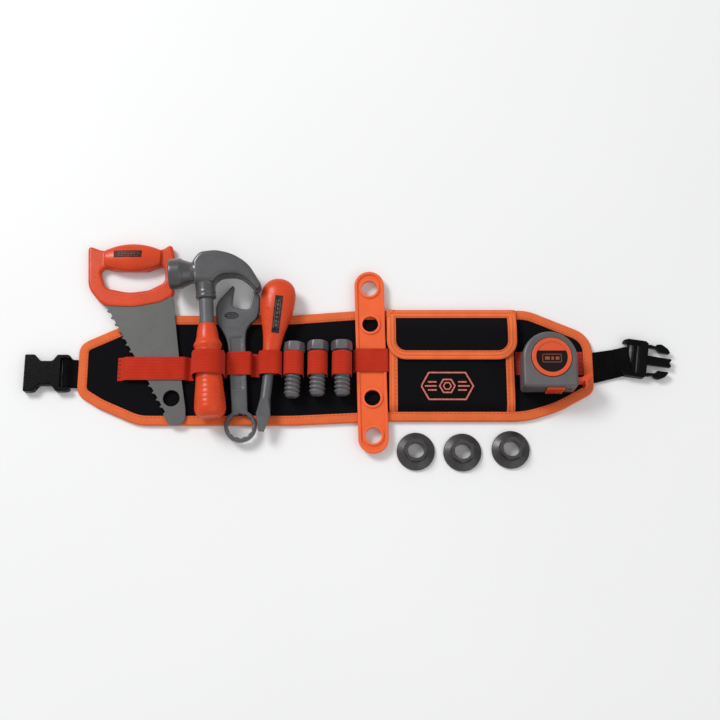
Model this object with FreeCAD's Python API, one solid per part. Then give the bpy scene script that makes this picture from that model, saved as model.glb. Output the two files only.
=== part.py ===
import FreeCAD, Part
import math
import os

# A child's tool belt lying open on its back, with its toy tools in their loops.
# Millimetres. +X runs along the belt, +Y across it towards the tool handles, +Z up from the
# surface it lies on. The origin is the middle of the whole set, on that surface.

# Belt panel: a padded fabric panel whose edge is wrapped in a sewn binding
PANEL_CORNERS = [
    # x, y, corner radius
    (247.5, 21.0, 26.0),
    (182.8, 48.2, 45.0),
    (12.0, 48.2, 300.0),
    (-60.0, 42.8, 300.0),
    (-207.0, 42.8, 60.0),
    (-275.0, 12.0, 14.0),
    (-275.0, -41.0, 16.0),
    (-252.0, -55.0, 80.0),
    (-212.0, -72.4, 50.0),
    (-55.0, -72.4, 300.0),
    (30.0, -68.3, 300.0),
    (178.0, -68.3, 90.0),
    (212.0, -57.7, 110.0),
    (247.5, -38.0, 12.0),
]
BINDING_WIDTH = 9.8
BINDING_TOP = 5.0
BINDING_WALL = 0.9
PANEL_BOTTOM = BINDING_WALL
PANEL_TOP = BINDING_TOP - BINDING_WALL
PANEL_LEFT = -275.0
PANEL_RIGHT = 247.5

# Elastic loops sewn across the panel
ELASTIC = 1.2
ELASTIC_WIDTH = 24.0
LOOP_GAP = 0.3

# Pocket and flap
POCKET_LEFT = 40.5
POCKET_RIGHT = 167.0
POCKET_BOTTOM = -58.4
POCKET_MOUTH = 18.0
POCKET_FRONT = 10.2
FABRIC = 1.0
POCKET_BINDING_WIDTH = 8.5
POCKET_BINDING = 0.8
FLAP_LEFT = 38.2
FLAP_RIGHT = 170.3
FLAP_TIP = -6.3
FLAP_HINGE_Y = 46.4
FLAP_HINGE_Z = 6.9
FLAP_THICK = 1.8
FLAP_BINDING_THICK = 2.6
FLAP_CORNER = 20.0
FLAP_LEVEL = 13.6
FLAP_SHOULDER = 24.0
PATCH_LENGTH = 60.0
PATCH_WIDTH = 12.0
PATCH_PLAY = 0.1

# Webbing and side-release buckle
WEBBING = 1.5
WEBBING_WIDTH = 29.0
STRAP_HINGE_Z = 2.5
STRAP_HINGE_GAP = 0.15
STRAP_LOOP_HEIGHT = 6.5
STRAP_LOOP_LENGTH = 9.0
BAR_Z = 5.0
BAR_HEIGHT = 3.0
BAR_HALF = 1.2
BUCKLE_BOTTOM = 0.4
BUCKLE_TOP = 9.6
RAIL_INNER = 15.3
SOCKET_X = -287.4
SOCKET_Y = -19.0
SOCKET_LENGTH = 41.0
SOCKET_HALF = 19.2
RIGHT_STRAP_ROOT = (-30.6, 2.6)
PLUG_X = 282.5
PLUG_Y = -2.3
PLUG_YAW = -8.5
PLUG_BODY_END = 20.0
PLUG_ARM_Y = 15.0
PLUG_ARM_HALF = 1.6
PLUG_ARM_GAP = 0.1

# Saw
SAW_BLADE_BOTTOM = 5.4
SAW_BLADE = 3.0
SAW_FRAME_BOTTOM = 0.4
SAW_FRAME_TOP = 9.6
SAW_TOOTH_START = (-252.6, 52.9)
SAW_TOOTH_END = (-186.2, -61.5)
SAW_TEETH = 16
SAW_TOOTH_DEPTH = 2.8
SAW_TIP_HOLE = (-178.6, -45.4)
SAW_TIP_HOLE_R = 8.5
SAW_GRIP_CENTRE = (-224.0, 103.4)
SAW_GRIP_HALF = 29.0
SAW_GRIP_R = 15.2
SAW_GRIP_END_R = 8.6
SAW_GRIP_FLATTEN = 0.55
SAW_GRIP_BASE = 0.5
SAW_GRIP_SECTIONS = 7

# Hammer, in its own frame: +Y along the shaft from the butt of the grip
HAMMER_AT = (-137.0, -68.0, 20.4)
HAMMER_YAW = 3.7
HAMMER_LIFT = 2.1
HAMMER_SHAFT_R = 7.3
HAMMER_HEAD_Y = 150.5
HAMMER_FACE_X = -36.6
HAMMER_FACE_R = 15.8
HAMMER_CLAW_HALF = 11.5
HAMMER_SOCKET_R = 10.4

# Wrench, in its own frame: +Y from the ring's centre to the open end
WRENCH_AT = (-108.3, -74.4, 5.2)
WRENCH_YAW = 4.0
WRENCH_THICK = 7.2
WRENCH_RING_R = 16.3
WRENCH_RING_AF = 22.6
WRENCH_RECESS = 0.8

# Screwdriver, in its own frame: +Y from the tip to the handle
DRIVER_AT = (-87.0, -81.0, 16.6)
DRIVER_YAW = -6.0
DRIVER_FLATTEN = 0.65
DRIVER_SHAFT_R = 5.3
DRIVER_NECK_Y = 60.0
DRIVER_TANG_Y = 84.0
DRIVER_LENGTH = 159.4

# Bolts and nuts share one thread size; the perforated strip takes the bolts too
THREAD_R = 8.0
THREAD_ROOT = 6.7
THREAD_PITCH = 4.4
BOLT_LENGTH = 55.5
BOLT_HEAD = 9.5
BOLT_HEAD_AF = 18.8
BOLT_Z = BINDING_TOP + 0.1 + BOLT_HEAD_AF / 2
BOLTS = [
    # x and y of the head's top, yaw
    (-54.9, 10.9, -2.7),
    (-31.6, 12.4, -0.5),
    (-7.7, 12.7, 1.1),
]
BORE_R = 8.2
NUTS = [
    # x, y, turn of the hexagon
    (66.6, -98.5, 0.0),
    (113.1, -99.4, 30.0),
    (161.4, -96.7, 15.0),
]
NUT_FLANGE_R = 19.0
NUT_FLANGE_EDGE = 3.0
NUT_SHOULDER = 6.5
NUT_HEIGHT = 12.0
NUT_AF = 21.5

# Perforated strip
STRIP_AT = (22.4, -6.6)
STRIP_YAW = 1.45
STRIP_BOTTOM = 5.3
STRIP_WEB = 3.2
STRIP_RIM = 4.6
STRIP_RIM_WIDTH = 3.0
STRIP_LENGTH = 190.0
STRIP_WIDTH = 30.4
STRIP_PITCH = 38.5
STRIP_HOLES = 5
STRIP_BOSS = 2.2

# Tape measure
TAPE_CENTRE = (199.4, -10.4)
TAPE_HALF = 27.2
TAPE_BASE = -39.4
TAPE_BACK = 8.2
TAPE_FRONT = 36.2
TAPE_WALL = 2.2
TAPE_ROUND = 3.0
TAPE_SPLIT = (TAPE_BACK + TAPE_FRONT) / 2
RING_CENTRE = (200.8, -10.0)
RING_R = 19.8
RING_INNER = 15.6
RING_TOP = 37.6
RING_DISH = 36.9
REEL_CENTRE = (199.4, -12.4)
COIL_R = 18.0
COIL_INNER = 9.5
HUB_INNER = 5.0
AXLE_R = 3.0
RUNNING = 0.08
TAPE_BLADE_WIDTH = 16.0
TAPE_BLADE = 0.8
CLIP_BOTTOM = 5.25
CLIP = 1.1
CLIP_X = (188.0, 211.0)
CLIP_Y = (-30.0, 13.0)
LOCK_X = (196.0, 213.0)
LOCK_Z = (12.5, 32.0)
LOCK_TRAVEL = 3.0


def vector(x, y, z=0.0):
    return FreeCAD.Vector(x, y, z)


def rounded_wire(corners):
    """A closed outline in XY with an arc of its own radius at each corner."""
    ends = []
    for i, (x, y, radius) in enumerate(corners):
        here = vector(x, y)
        to_last = (vector(*corners[i - 1][:2]) - here).normalize()
        to_next = (vector(*corners[(i + 1) % len(corners)][:2]) - here).normalize()
        half_angle = to_last.getAngle(to_next) / 2
        if radius == 0:
            ends.append((here, None, here))
            continue
        reach = radius / math.tan(half_angle)
        inward = (to_last + to_next).normalize()
        centre = here + inward * (radius / math.sin(half_angle))
        ends.append((here + to_last * reach, centre - inward * radius, here + to_next * reach))
    edges = []
    for i, (start, middle, end) in enumerate(ends):
        if middle is not None:
            edges.append(Part.Arc(start, middle, end).toShape())
        following = ends[(i + 1) % len(ends)][0]
        if end.distanceToPoint(following) > 0.001:
            edges.append(Part.LineSegment(end, following).toShape())
    return Part.Wire(edges)


def plate(wire, bottom, top):
    """The outline as a plate between two heights."""
    face = Part.Face(wire)
    face.translate(vector(0, 0, bottom))
    return face.extrude(vector(0, 0, top - bottom))


def rounded_plate(corners, bottom, top):
    return plate(rounded_wire(corners), bottom, top)


def box(x, y, z):
    """A box from its (low, high) pairs."""
    return Part.makeBox(x[1] - x[0], y[1] - y[0], z[1] - z[0], vector(x[0], y[0], z[0]))


def disc(centre, radius, bottom, top):
    return Part.makeCylinder(radius, top - bottom, vector(centre[0], centre[1], bottom))


def across_x(corners, x_from, x_to):
    """A YZ outline, (y, z, radius), extruded along X."""
    shape = rounded_plate(corners, 0, x_to - x_from)
    shape.rotate(vector(0, 0, 0), vector(1, 1, 1), 120)
    shape.translate(vector(x_from, 0, 0))
    return shape


def across_y(corners, y_from, y_to):
    """An XZ outline, (x, z, radius), extruded along Y."""
    shape = rounded_plate(corners, 0, y_to - y_from)
    shape.rotate(vector(0, 0, 0), vector(1, 0, 0), 90)
    shape.translate(vector(0, y_to, 0))
    return shape


def spun_about_y(profile):
    """(y, radius) points, joined by a smooth curve, spun about the Y axis."""
    curve = Part.BSplineCurve()
    curve.interpolate([vector(radius, y) for y, radius in profile])
    first, last = profile[0], profile[-1]
    edges = [
        Part.LineSegment(vector(0, first[0]), vector(first[1], first[0])).toShape(),
        curve.toShape(),
        Part.LineSegment(vector(last[1], last[0]), vector(0, last[0])).toShape(),
        Part.LineSegment(vector(0, last[0]), vector(0, first[0])).toShape(),
    ]
    return Part.Face(Part.Wire(edges)).revolve(vector(0, 0, 0), vector(0, 1, 0), 360)


def lathe_y(points):
    """(y, radius) corners joined by straight lines, spun about the Y axis."""
    outline = [vector(0, points[0][0])]
    outline += [vector(radius, y) for y, radius in points]
    outline += [vector(0, points[-1][0]), outline[0]]
    face = Part.Face(Part.makePolygon(outline))
    return face.revolve(vector(0, 0, 0), vector(0, 1, 0), 360)


def lofted_y(sections):
    """(y, half width, half height) ellipses joined by a smooth skin along Y."""
    wires = []
    for y, half_x, half_z in sections:
        major, minor = max(half_x, half_z), min(half_x, half_z)
        along = vector(1, 0, 0) if half_x >= half_z else vector(0, 0, 1)
        ellipse = Part.Ellipse(vector(0, 0, 0), major, minor)
        edge = ellipse.toShape()
        edge.rotate(vector(0, 0, 0), vector(1, 0, 0), 90)
        if along.z:
            edge.rotate(vector(0, 0, 0), vector(0, 1, 0), 90)
        edge.translate(vector(0, y, 0))
        wires.append(Part.Wire(edge))
    return Part.makeLoft(wires, True, False)


def placed(shape, at, yaw, lift=0.0):
    """Tip the +Y end up by lift degrees, turn by yaw degrees about Z, and move to at."""
    shape = shape.copy()
    shape.rotate(vector(0, 0, 0), vector(1, 0, 0), lift)
    shape.rotate(vector(0, 0, 0), vector(0, 0, 1), yaw)
    shape.translate(vector(*at))
    return shape


def level_edges(shape, z):
    """The edges that lie at one height."""
    found = []
    for edge in shape.Edges:
        bounds = edge.BoundBox
        if abs(bounds.ZMin - z) < 0.01 and abs(bounds.ZMax - z) < 0.01:
            found.append(edge)
    return found


def eased(shape, radius, *heights):
    """Round the edges at the given heights."""
    edges = []
    for z in heights:
        edges += level_edges(shape, z)
    return shape.makeFillet(radius, edges)


def hexagon(centre, across_flats, bottom, top, turn=0.0):
    radius = across_flats / math.sqrt(3)
    points = []
    for i in range(7):
        angle = math.radians(60 * i + turn)
        points.append(vector(centre[0] + radius * math.cos(angle), centre[1] + radius * math.sin(angle)))
    return plate(Part.makePolygon(points), bottom, top)


# ---- belt ----


def panel_outline(inset):
    wire = rounded_wire(PANEL_CORNERS)
    return wire.makeOffset2D(-inset) if inset else wire


def belt_panel():
    return plate(panel_outline(BINDING_WALL), PANEL_BOTTOM, PANEL_TOP)


def panel_binding():
    band = plate(panel_outline(0), 0, BINDING_TOP)
    band = eased(band, 1.2, 0, BINDING_TOP)
    band = band.cut(plate(panel_outline(BINDING_WIDTH), -1, BINDING_TOP + 1))
    return band.cut(belt_panel())


def elastic_loop(x_left, x_right, y_middle, inner_top, corner):
    """An arch of elastic that stands on the panel."""
    y_from = y_middle - ELASTIC_WIDTH / 2
    y_to = y_middle + ELASTIC_WIDTH / 2
    top = inner_top + ELASTIC
    outside = [
        (x_left, PANEL_TOP, 0),
        (x_left, top, corner + ELASTIC),
        (x_right, top, corner + ELASTIC),
        (x_right, PANEL_TOP, 0),
    ]
    inside = [
        (x_left + ELASTIC, PANEL_TOP - 1, 0),
        (x_left + ELASTIC, inner_top, corner),
        (x_right - ELASTIC, inner_top, corner),
        (x_right - ELASTIC, PANEL_TOP - 1, 0),
    ]
    return across_y(outside, y_from, y_to).cut(across_y(inside, y_from - 1, y_to + 1))


def elastic_span(x_left, x_right, y_middle, under, ramp, foot):
    """A band that lies on the panel at both ends and bridges over something flat."""
    points = [
        (x_left, PANEL_TOP, 0),
        (x_left + foot, PANEL_TOP, 3),
        (x_left + foot + ramp, under, 3),
        (x_right - foot - ramp, under, 3),
        (x_right - foot, PANEL_TOP, 3),
        (x_right, PANEL_TOP, 0),
        (x_right, PANEL_TOP + ELASTIC, 0),
        (x_right - foot + ELASTIC / 2, PANEL_TOP + ELASTIC, 3),
        (x_right - foot - ramp + ELASTIC / 2, under + ELASTIC, 3),
        (x_left + foot + ramp - ELASTIC / 2, under + ELASTIC, 3),
        (x_left + foot - ELASTIC / 2, PANEL_TOP + ELASTIC, 3),
        (x_left, PANEL_TOP + ELASTIC, 0),
    ]
    return across_y(points, y_middle - ELASTIC_WIDTH / 2, y_middle + ELASTIC_WIDTH / 2)


def saw_span():
    return elastic_span(-234.5, -157.6, -14.6, SAW_BLADE_BOTTOM + SAW_BLADE + LOOP_GAP, 5.0, 4.0)


def hammer_loop():
    return elastic_loop(-157.4, -124.8, -13.7, 37.4, 13.6)


def wrench_loop():
    return elastic_loop(-124.6, -98.3, -10.0, WRENCH_AT[2] + WRENCH_THICK + LOOP_GAP, 2.0)


def driver_loop():
    return elastic_loop(-91.2, -67.4, -11.3, DRIVER_AT[2] + 6.9, 8.0)


def bolt_loop(number):
    x, y, yaw = BOLTS[number]
    y_middle = -11.3
    middle = x + (y - y_middle) * math.sin(math.radians(yaw))
    half = THREAD_R + ELASTIC + 0.9
    return elastic_loop(middle - half, middle + half, y_middle, BOLT_Z + THREAD_R + LOOP_GAP, 7.5)


def strip_loop():
    return elastic_loop(5.4, 40.0, -6.2, STRIP_BOTTOM + STRIP_RIM + LOOP_GAP, 1.0)


def tape_strap():
    return elastic_span(168.6, 237.2, -8.4, CLIP_BOTTOM + CLIP + 0.25, 5.0, 4.0)


def pocket_front():
    outside = [
        (POCKET_BOTTOM, PANEL_TOP, 0),
        (POCKET_BOTTOM, PANEL_TOP + 1.5, 1),
        (POCKET_BOTTOM + 9, POCKET_FRONT, 8),
        (POCKET_MOUTH, POCKET_FRONT, 0),
        (POCKET_MOUTH, PANEL_TOP, 0),
    ]
    inside = [
        (POCKET_BOTTOM + FABRIC, PANEL_TOP - 1, 0),
        (POCKET_BOTTOM + FABRIC, PANEL_TOP + 1, 1),
        (POCKET_BOTTOM + 9.4, POCKET_FRONT - FABRIC, 7),
        (POCKET_MOUTH + 1, POCKET_FRONT - FABRIC, 0),
        (POCKET_MOUTH + 1, PANEL_TOP - 1, 0),
    ]
    shell = across_x(outside, POCKET_LEFT + POCKET_BINDING, POCKET_RIGHT - POCKET_BINDING)
    side = POCKET_BINDING + FABRIC
    return shell.cut(across_x(inside, POCKET_LEFT + side, POCKET_RIGHT - side))


def pocket_binding():
    """Folded strips over the pocket's two side edges."""
    strips = []
    for edge, side in ((POCKET_LEFT, 1), (POCKET_RIGHT, -1)):
        x = sorted((edge, edge + side * POCKET_BINDING_WIDTH))
        strip = across_x(
            [
                (POCKET_BOTTOM, PANEL_TOP, 0),
                (POCKET_BOTTOM, PANEL_TOP + 2.2, 1),
                (POCKET_BOTTOM + 8.7, POCKET_FRONT + POCKET_BINDING, 8),
                (POCKET_MOUTH, POCKET_FRONT + POCKET_BINDING, 0),
                (POCKET_MOUTH, PANEL_TOP, 0),
            ],
            x[0],
            x[1],
        )
        inner = sorted((edge + side * POCKET_BINDING, edge + side * 30))
        hollow = across_x(
            [
                (POCKET_BOTTOM - 1, PANEL_TOP - 1, 0),
                (POCKET_BOTTOM - 1, PANEL_TOP + 1.5, 0),
                (POCKET_BOTTOM, PANEL_TOP + 1.5, 0),
                (POCKET_BOTTOM + 9, POCKET_FRONT, 8),
                (POCKET_MOUTH + 1, POCKET_FRONT, 0),
                (POCKET_MOUTH + 1, PANEL_TOP - 1, 0),
            ],
            inner[0],
            inner[1],
        )
        strips.append(strip.cut(hollow))
    return Part.makeCompound(strips)


def loop_patch():
    """The soft half of the flap's touch fastener, on the pocket."""
    middle = (POCKET_LEFT + POCKET_RIGHT) / 2
    x = (middle - PATCH_LENGTH / 2, middle + PATCH_LENGTH / 2)
    y = (FLAP_TIP + BINDING_WIDTH, FLAP_TIP + BINDING_WIDTH + PATCH_WIDTH)
    patch_top = (POCKET_FRONT + FLAP_LEVEL - FLAP_THICK) / 2
    return box(x, y, (POCKET_FRONT, patch_top - PATCH_PLAY / 2))


def hook_patch():
    """The hooked half, on the flap's underside."""
    middle = (POCKET_LEFT + POCKET_RIGHT) / 2
    x = (middle - PATCH_LENGTH / 2, middle + PATCH_LENGTH / 2)
    y = (FLAP_TIP + BINDING_WIDTH, FLAP_TIP + BINDING_WIDTH + PATCH_WIDTH)
    patch_top = (POCKET_FRONT + FLAP_LEVEL - FLAP_THICK) / 2
    return box(x, y, (patch_top + PATCH_PLAY / 2, FLAP_LEVEL - FLAP_THICK))


def flap_profile(thick):
    """The flap from the side: a rounded hinge edge, a rise, then level over the pocket."""
    half = thick / 2
    level = FLAP_LEVEL - FLAP_THICK / 2
    return [
        (FLAP_HINGE_Y + half, FLAP_HINGE_Z - half, half * 0.95),
        (FLAP_HINGE_Y + half, FLAP_HINGE_Z + half, half * 0.95),
        (FLAP_SHOULDER, level + half, 20),
        (FLAP_TIP, level + half, 0.5),
        (FLAP_TIP, level - half, 0.5),
        (FLAP_SHOULDER, level - half, 20),
    ]


def flap_outline(inset):
    corner = FLAP_CORNER - inset
    return rounded_wire(
        [
            (FLAP_LEFT + inset, FLAP_HINGE_Y + 5, 0),
            (FLAP_LEFT + inset, FLAP_TIP + inset, corner),
            (FLAP_RIGHT - inset, FLAP_TIP + inset, corner),
            (FLAP_RIGHT - inset, FLAP_HINGE_Y + 5, 0),
        ]
    )


def flap_solid(thick, inset):
    side_view = across_x(flap_profile(thick), FLAP_LEFT - 1, FLAP_RIGHT + 1)
    return side_view.common(plate(flap_outline(inset), 0, 30))


def pocket_flap():
    return flap_solid(FLAP_THICK, POCKET_BINDING)


def flap_binding():
    border = flap_solid(FLAP_BINDING_THICK, 0)
    border = border.cut(plate(flap_outline(BINDING_WIDTH - 0.8), -1, 40))
    return border.cut(pocket_flap())


# ---- straps and buckle ----


def strap_loop():
    """The webbing's turn round a buckle's bar, in the buckle's frame: the bar is at x=0."""
    low = STRAP_HINGE_Z - WEBBING / 2
    high = STRAP_HINGE_Z + WEBBING / 2
    top = low + STRAP_LOOP_HEIGHT
    front = BAR_HALF + LOOP_GAP + WEBBING
    back = -BAR_HALF - LOOP_GAP
    side = [
        (-STRAP_LOOP_LENGTH, low, 0),
        (front, low, 3.0),
        (front, top, 3.0),
        (back - WEBBING, top, 2.5),
        (-STRAP_LOOP_LENGTH + 1, high, 2.0),
        (-STRAP_LOOP_LENGTH, high, 0),
    ]
    eye = [
        (back, low + WEBBING, 0.8),
        (front - WEBBING, low + WEBBING, 1.5),
        (front - WEBBING, top - WEBBING, 1.5),
        (back, top - WEBBING, 0.8),
    ]
    half = WEBBING_WIDTH / 2
    return across_y(side, -half, half).cut(across_y(eye, -half - 1, half + 1))


def strap_run(side, near, far):
    """The flat webbing from the hinge line, over the (low, high) span near, to two far points."""
    hinge = strap_hinge_x(side)
    low = STRAP_HINGE_Z - WEBBING / 2
    corners = [(hinge, near[0], 0), far[0] + (0,), far[1] + (0,), (hinge, near[1], 0)]
    run = rounded_plate(corners, low, low + WEBBING)
    base = vector(hinge, near[0], STRAP_HINGE_Z)
    return run.fuse(Part.makeCylinder(WEBBING / 2, near[1] - near[0], base, vector(0, 1, 0)))


def strap_hinge_x(side):
    """Hinge line of the left (-1) or right (+1) strap, just off the panel's end."""
    edge = PANEL_RIGHT if side > 0 else PANEL_LEFT
    return edge + side * (WEBBING / 2 + STRAP_HINGE_GAP)


def left_webbing():
    half = WEBBING_WIDTH / 2
    loop = strap_loop()
    loop.rotate(vector(0, 0, 0), vector(0, 0, 1), 180)
    loop.translate(vector(SOCKET_X, SOCKET_Y, 0))
    end = SOCKET_X + STRAP_LOOP_LENGTH
    far = [(end, SOCKET_Y - half), (end, SOCKET_Y + half)]
    run = strap_run(-1, (SOCKET_Y - half, SOCKET_Y + half), far)
    return run.fuse(loop).removeSplitter()


def right_webbing():
    far = [in_plug_plan(-STRAP_LOOP_LENGTH, side * WEBBING_WIDTH / 2) for side in (-1, 1)]
    run = strap_run(1, RIGHT_STRAP_ROOT, far)
    return run.fuse(in_plug_frame(strap_loop())).removeSplitter()


def in_plug_plan(x, y):
    """A point of the plug's plan in the row's plan."""
    turn = math.radians(PLUG_YAW)
    along = x * math.cos(turn) - y * math.sin(turn)
    across = x * math.sin(turn) + y * math.cos(turn)
    return (PLUG_X + along, PLUG_Y + across)


def bar(x_middle):
    """The bar that the webbing turns round."""
    corners = [
        (x_middle - BAR_HALF, BAR_Z - BAR_HEIGHT / 2, 0.8),
        (x_middle + BAR_HALF, BAR_Z - BAR_HEIGHT / 2, 0.8),
        (x_middle + BAR_HALF, BAR_Z + BAR_HEIGHT / 2, 0.8),
        (x_middle - BAR_HALF, BAR_Z + BAR_HEIGHT / 2, 0.8),
    ]
    return across_y(corners, -RAIL_INNER - 1, RAIL_INNER + 1)


def socket_buckle():
    """Socket half: +X out of its mouth here, turned round when it is placed."""
    end = SOCKET_LENGTH
    half = SOCKET_HALF
    outline = [
        (-5.5, -17.5, 2.5),
        (-5.5, 17.5, 2.5),
        (-2.0, half - 0.3, 2.0),
        (8.0, half - 0.3, 2.0),
        (13.0, 12.4, 4.0),
        (25.5, 12.4, 4.0),
        (31.0, half, 4.0),
        (end, half, 1.5),
        (end, -half, 1.5),
        (31.0, -half, 4.0),
        (25.5, -12.4, 4.0),
        (13.0, -12.4, 4.0),
        (8.0, -half + 0.3, 2.0),
        (-2.0, -half + 0.3, 2.0),
    ]
    body = eased(rounded_plate(outline, BUCKLE_BOTTOM, BUCKLE_TOP), 1.0, BUCKLE_BOTTOM, BUCKLE_TOP)
    body = body.cut(box((-10, 4.6), (-RAIL_INNER, RAIL_INNER), (-1, 20)))
    body = body.fuse(bar(0))
    mouth = box((27.0, end + 5), (-15.8, 15.8), (2.4, 7.8))
    throat = box((12.0, 30.0), (-9.8, 9.8), (2.4, 7.8))
    body = body.cut(mouth).cut(throat)
    body.rotate(vector(0, 0, 0), vector(0, 0, 1), 180)
    body.translate(vector(SOCKET_X, SOCKET_Y, 0))
    return body


def in_plug_frame(shape):
    return placed(shape, (PLUG_X, PLUG_Y, 0), PLUG_YAW)


def plug_buckle():
    """Plug half: rails and bar, a solid bridge, and the centre guide prong."""
    rail = [
        (-6.0, -17.0, 0.8),
        (-1.0, -19.3, 1.5),
        (17.0, -19.3, 2.0),
        (PLUG_BODY_END, -17.0, 1.0),
        (PLUG_BODY_END, 17.0, 1.0),
        (17.0, 19.3, 2.0),
        (-1.0, 19.3, 1.5),
        (-6.0, 17.0, 0.8),
    ]
    body = eased(rounded_plate(rail, BUCKLE_BOTTOM, BUCKLE_TOP - 0.6), 1.0, BUCKLE_BOTTOM, BUCKLE_TOP - 0.6)
    body = body.cut(box((-10, 4.8), (-RAIL_INNER, RAIL_INNER), (-1, 20)))
    body = body.cut(box((8.6, 11.4), (-RAIL_INNER, RAIL_INNER), (-1, 20)))
    prong = rounded_plate(
        [
            (PLUG_BODY_END - 1, -4.6, 0),
            (PLUG_BODY_END + 25.0, -4.2, 1.0),
            (PLUG_BODY_END + 22.5, 0.0, 1.5),
            (PLUG_BODY_END + 25.0, 4.2, 1.0),
            (PLUG_BODY_END - 1, 4.6, 0),
        ],
        2.9,
        7.3,
    )
    body = body.fuse([bar(0), prong])
    return in_plug_frame(body)


def plug_arm(side):
    """One sprung latch arm, hinged where it leaves the bridge."""
    pivot_x = PLUG_BODY_END + PLUG_ARM_HALF + PLUG_ARM_GAP
    root = disc((pivot_x, PLUG_ARM_Y), PLUG_ARM_HALF, 2.9, 7.3)
    arm = rounded_plate(
        [
            (pivot_x, PLUG_ARM_Y - PLUG_ARM_HALF, 0),
            (28.5, 12.9, 4.0),
            (31.0, 9.8, 2.0),
            (43.0, 9.6, 1.2),
            (40.0, 14.5, 8.0),
            (33.0, 18.4, 3.5),
            (28.0, 17.4, 1.0),
            (27.0, 15.4, 1.0),
            (pivot_x, PLUG_ARM_Y + PLUG_ARM_HALF, 0),
        ],
        2.9,
        7.3,
    )
    arm = arm.fuse(root).removeSplitter()
    if side < 0:
        arm = arm.mirror(vector(0, 0, 0), vector(0, 1, 0))
    return in_plug_frame(arm)


# ---- saw ----


def saw_blade():
    start = vector(*SAW_TOOTH_START)
    end = vector(*SAW_TOOTH_END)
    step = (end - start) * (1.0 / SAW_TEETH)
    inward = vector(-step.y, step.x).normalize() * SAW_TOOTH_DEPTH
    corners = [(-246.0, 62.0, 3.0)]
    for i in range(SAW_TEETH):
        tip = start + step * i
        heel = tip + step * 0.35 + inward
        gullet = tip + step * 0.92 + inward
        corners.append((tip.x, tip.y, 0.5))
        corners.append((heel.x, heel.y, 0.9))
        corners.append((gullet.x, gullet.y, 0.7))
    corners += [
        (end.x, end.y, 1.0),
        (-181.0, -73.0, 9.0),
        (-163.5, -73.0, 9.0),
        (-164.0, -56.0, 40.0),
        (-169.5, -24.0, 40.0),
        (-173.5, 5.0, 40.0),
        (-181.3, 62.0, 3.0),
    ]
    blade = rounded_plate(corners, SAW_BLADE_BOTTOM, SAW_BLADE_BOTTOM + SAW_BLADE)
    return blade.cut(disc(SAW_TIP_HOLE, SAW_TIP_HOLE_R, 0, 20))


def saw_grip(swell=0.0):
    """The barrel of the handle, an ellipse across and tapered to both ends."""
    x, y = SAW_GRIP_CENTRE
    sections = []
    for i in range(SAW_GRIP_SECTIONS):
        along = 2 * i / (SAW_GRIP_SECTIONS - 1) - 1
        radius = SAW_GRIP_R + (SAW_GRIP_END_R - SAW_GRIP_R) * along * along
        sections.append((along * SAW_GRIP_HALF, radius + swell, radius * SAW_GRIP_FLATTEN + swell))
    barrel = lofted_y(sections)
    barrel.rotate(vector(0, 0, 0), vector(0, 0, 1), -90)
    barrel.translate(vector(x, y, SAW_GRIP_BASE + SAW_GRIP_R * SAW_GRIP_FLATTEN))
    return barrel


def saw_handle():
    outside = [
        (-271.5, 117.5, 3.0),
        (-254.0, 111.0, 14.0),
        (-239.0, 117.5, 20.0),
        (-207.0, 117.5, 20.0),
        (-196.5, 111.5, 10.0),
        (-184.5, 119.5, 3.0),
        (-179.6, 99.0, 30.0),
        (-180.6, 63.0, 8.0),
        (-193.0, 55.0, 25.0),
        (-222.0, 49.5, 60.0),
        (-252.0, 51.0, 20.0),
        (-269.0, 71.0, 24.0),
    ]
    inside = [
        (-259.5, 95.0, 5.0),
        (-241.0, 90.0, 10.0),
        (-208.0, 90.0, 10.0),
        (-191.0, 97.0, 4.0),
        (-190.0, 77.5, 7.0),
        (-206.0, 69.0, 20.0),
        (-226.0, 66.0, 40.0),
        (-251.0, 71.0, 10.0),
    ]
    frame = rounded_plate(outside, SAW_FRAME_BOTTOM, SAW_FRAME_TOP)
    frame = frame.cut(rounded_plate(inside, -1, 30))
    frame = eased(frame, 2.6, SAW_FRAME_TOP, SAW_FRAME_BOTTOM)
    handle = frame.fuse(saw_grip()).removeSplitter()
    return handle.cut(saw_blade())


def saw_label():
    """A thin plate that follows the barrel."""
    patch = saw_grip(0.35).common(rounded_plate(label_corners(-228.5, 105.6, 29.0, 7.4), 10, 30))
    return patch.cut(saw_grip()).cut(saw_handle())


def label_corners(x, y, length, width, radius=0.6):
    return [
        (x - length / 2, y - width / 2, radius),
        (x + length / 2, y - width / 2, radius),
        (x + length / 2, y + width / 2, radius),
        (x - length / 2, y + width / 2, radius),
    ]


# ---- hammer ----


def in_hammer_frame(shape):
    return placed(shape, HAMMER_AT, HAMMER_YAW, HAMMER_LIFT)


def hammer_shaft_solid():
    return lathe_y([(78.0, HAMMER_SHAFT_R), (HAMMER_HEAD_Y - 8, HAMMER_SHAFT_R)])


def hammer_shaft():
    return in_hammer_frame(hammer_shaft_solid())


def hammer_grip():
    body = spun_about_y(
        [
            (0.0, 9.5),
            (2.0, 13.2),
            (7.0, 15.5),
            (14.0, 15.7),
            (30.0, 14.2),
            (49.0, 13.2),
            (66.0, 13.4),
            (71.0, 13.4),
            (73.0, 14.2),
            (75.0, 14.1),
            (77.0, 13.0),
            (86.0, 10.6),
            (96.0, 8.3),
        ]
    )
    return in_hammer_frame(body.cut(hammer_shaft_solid()))


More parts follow.
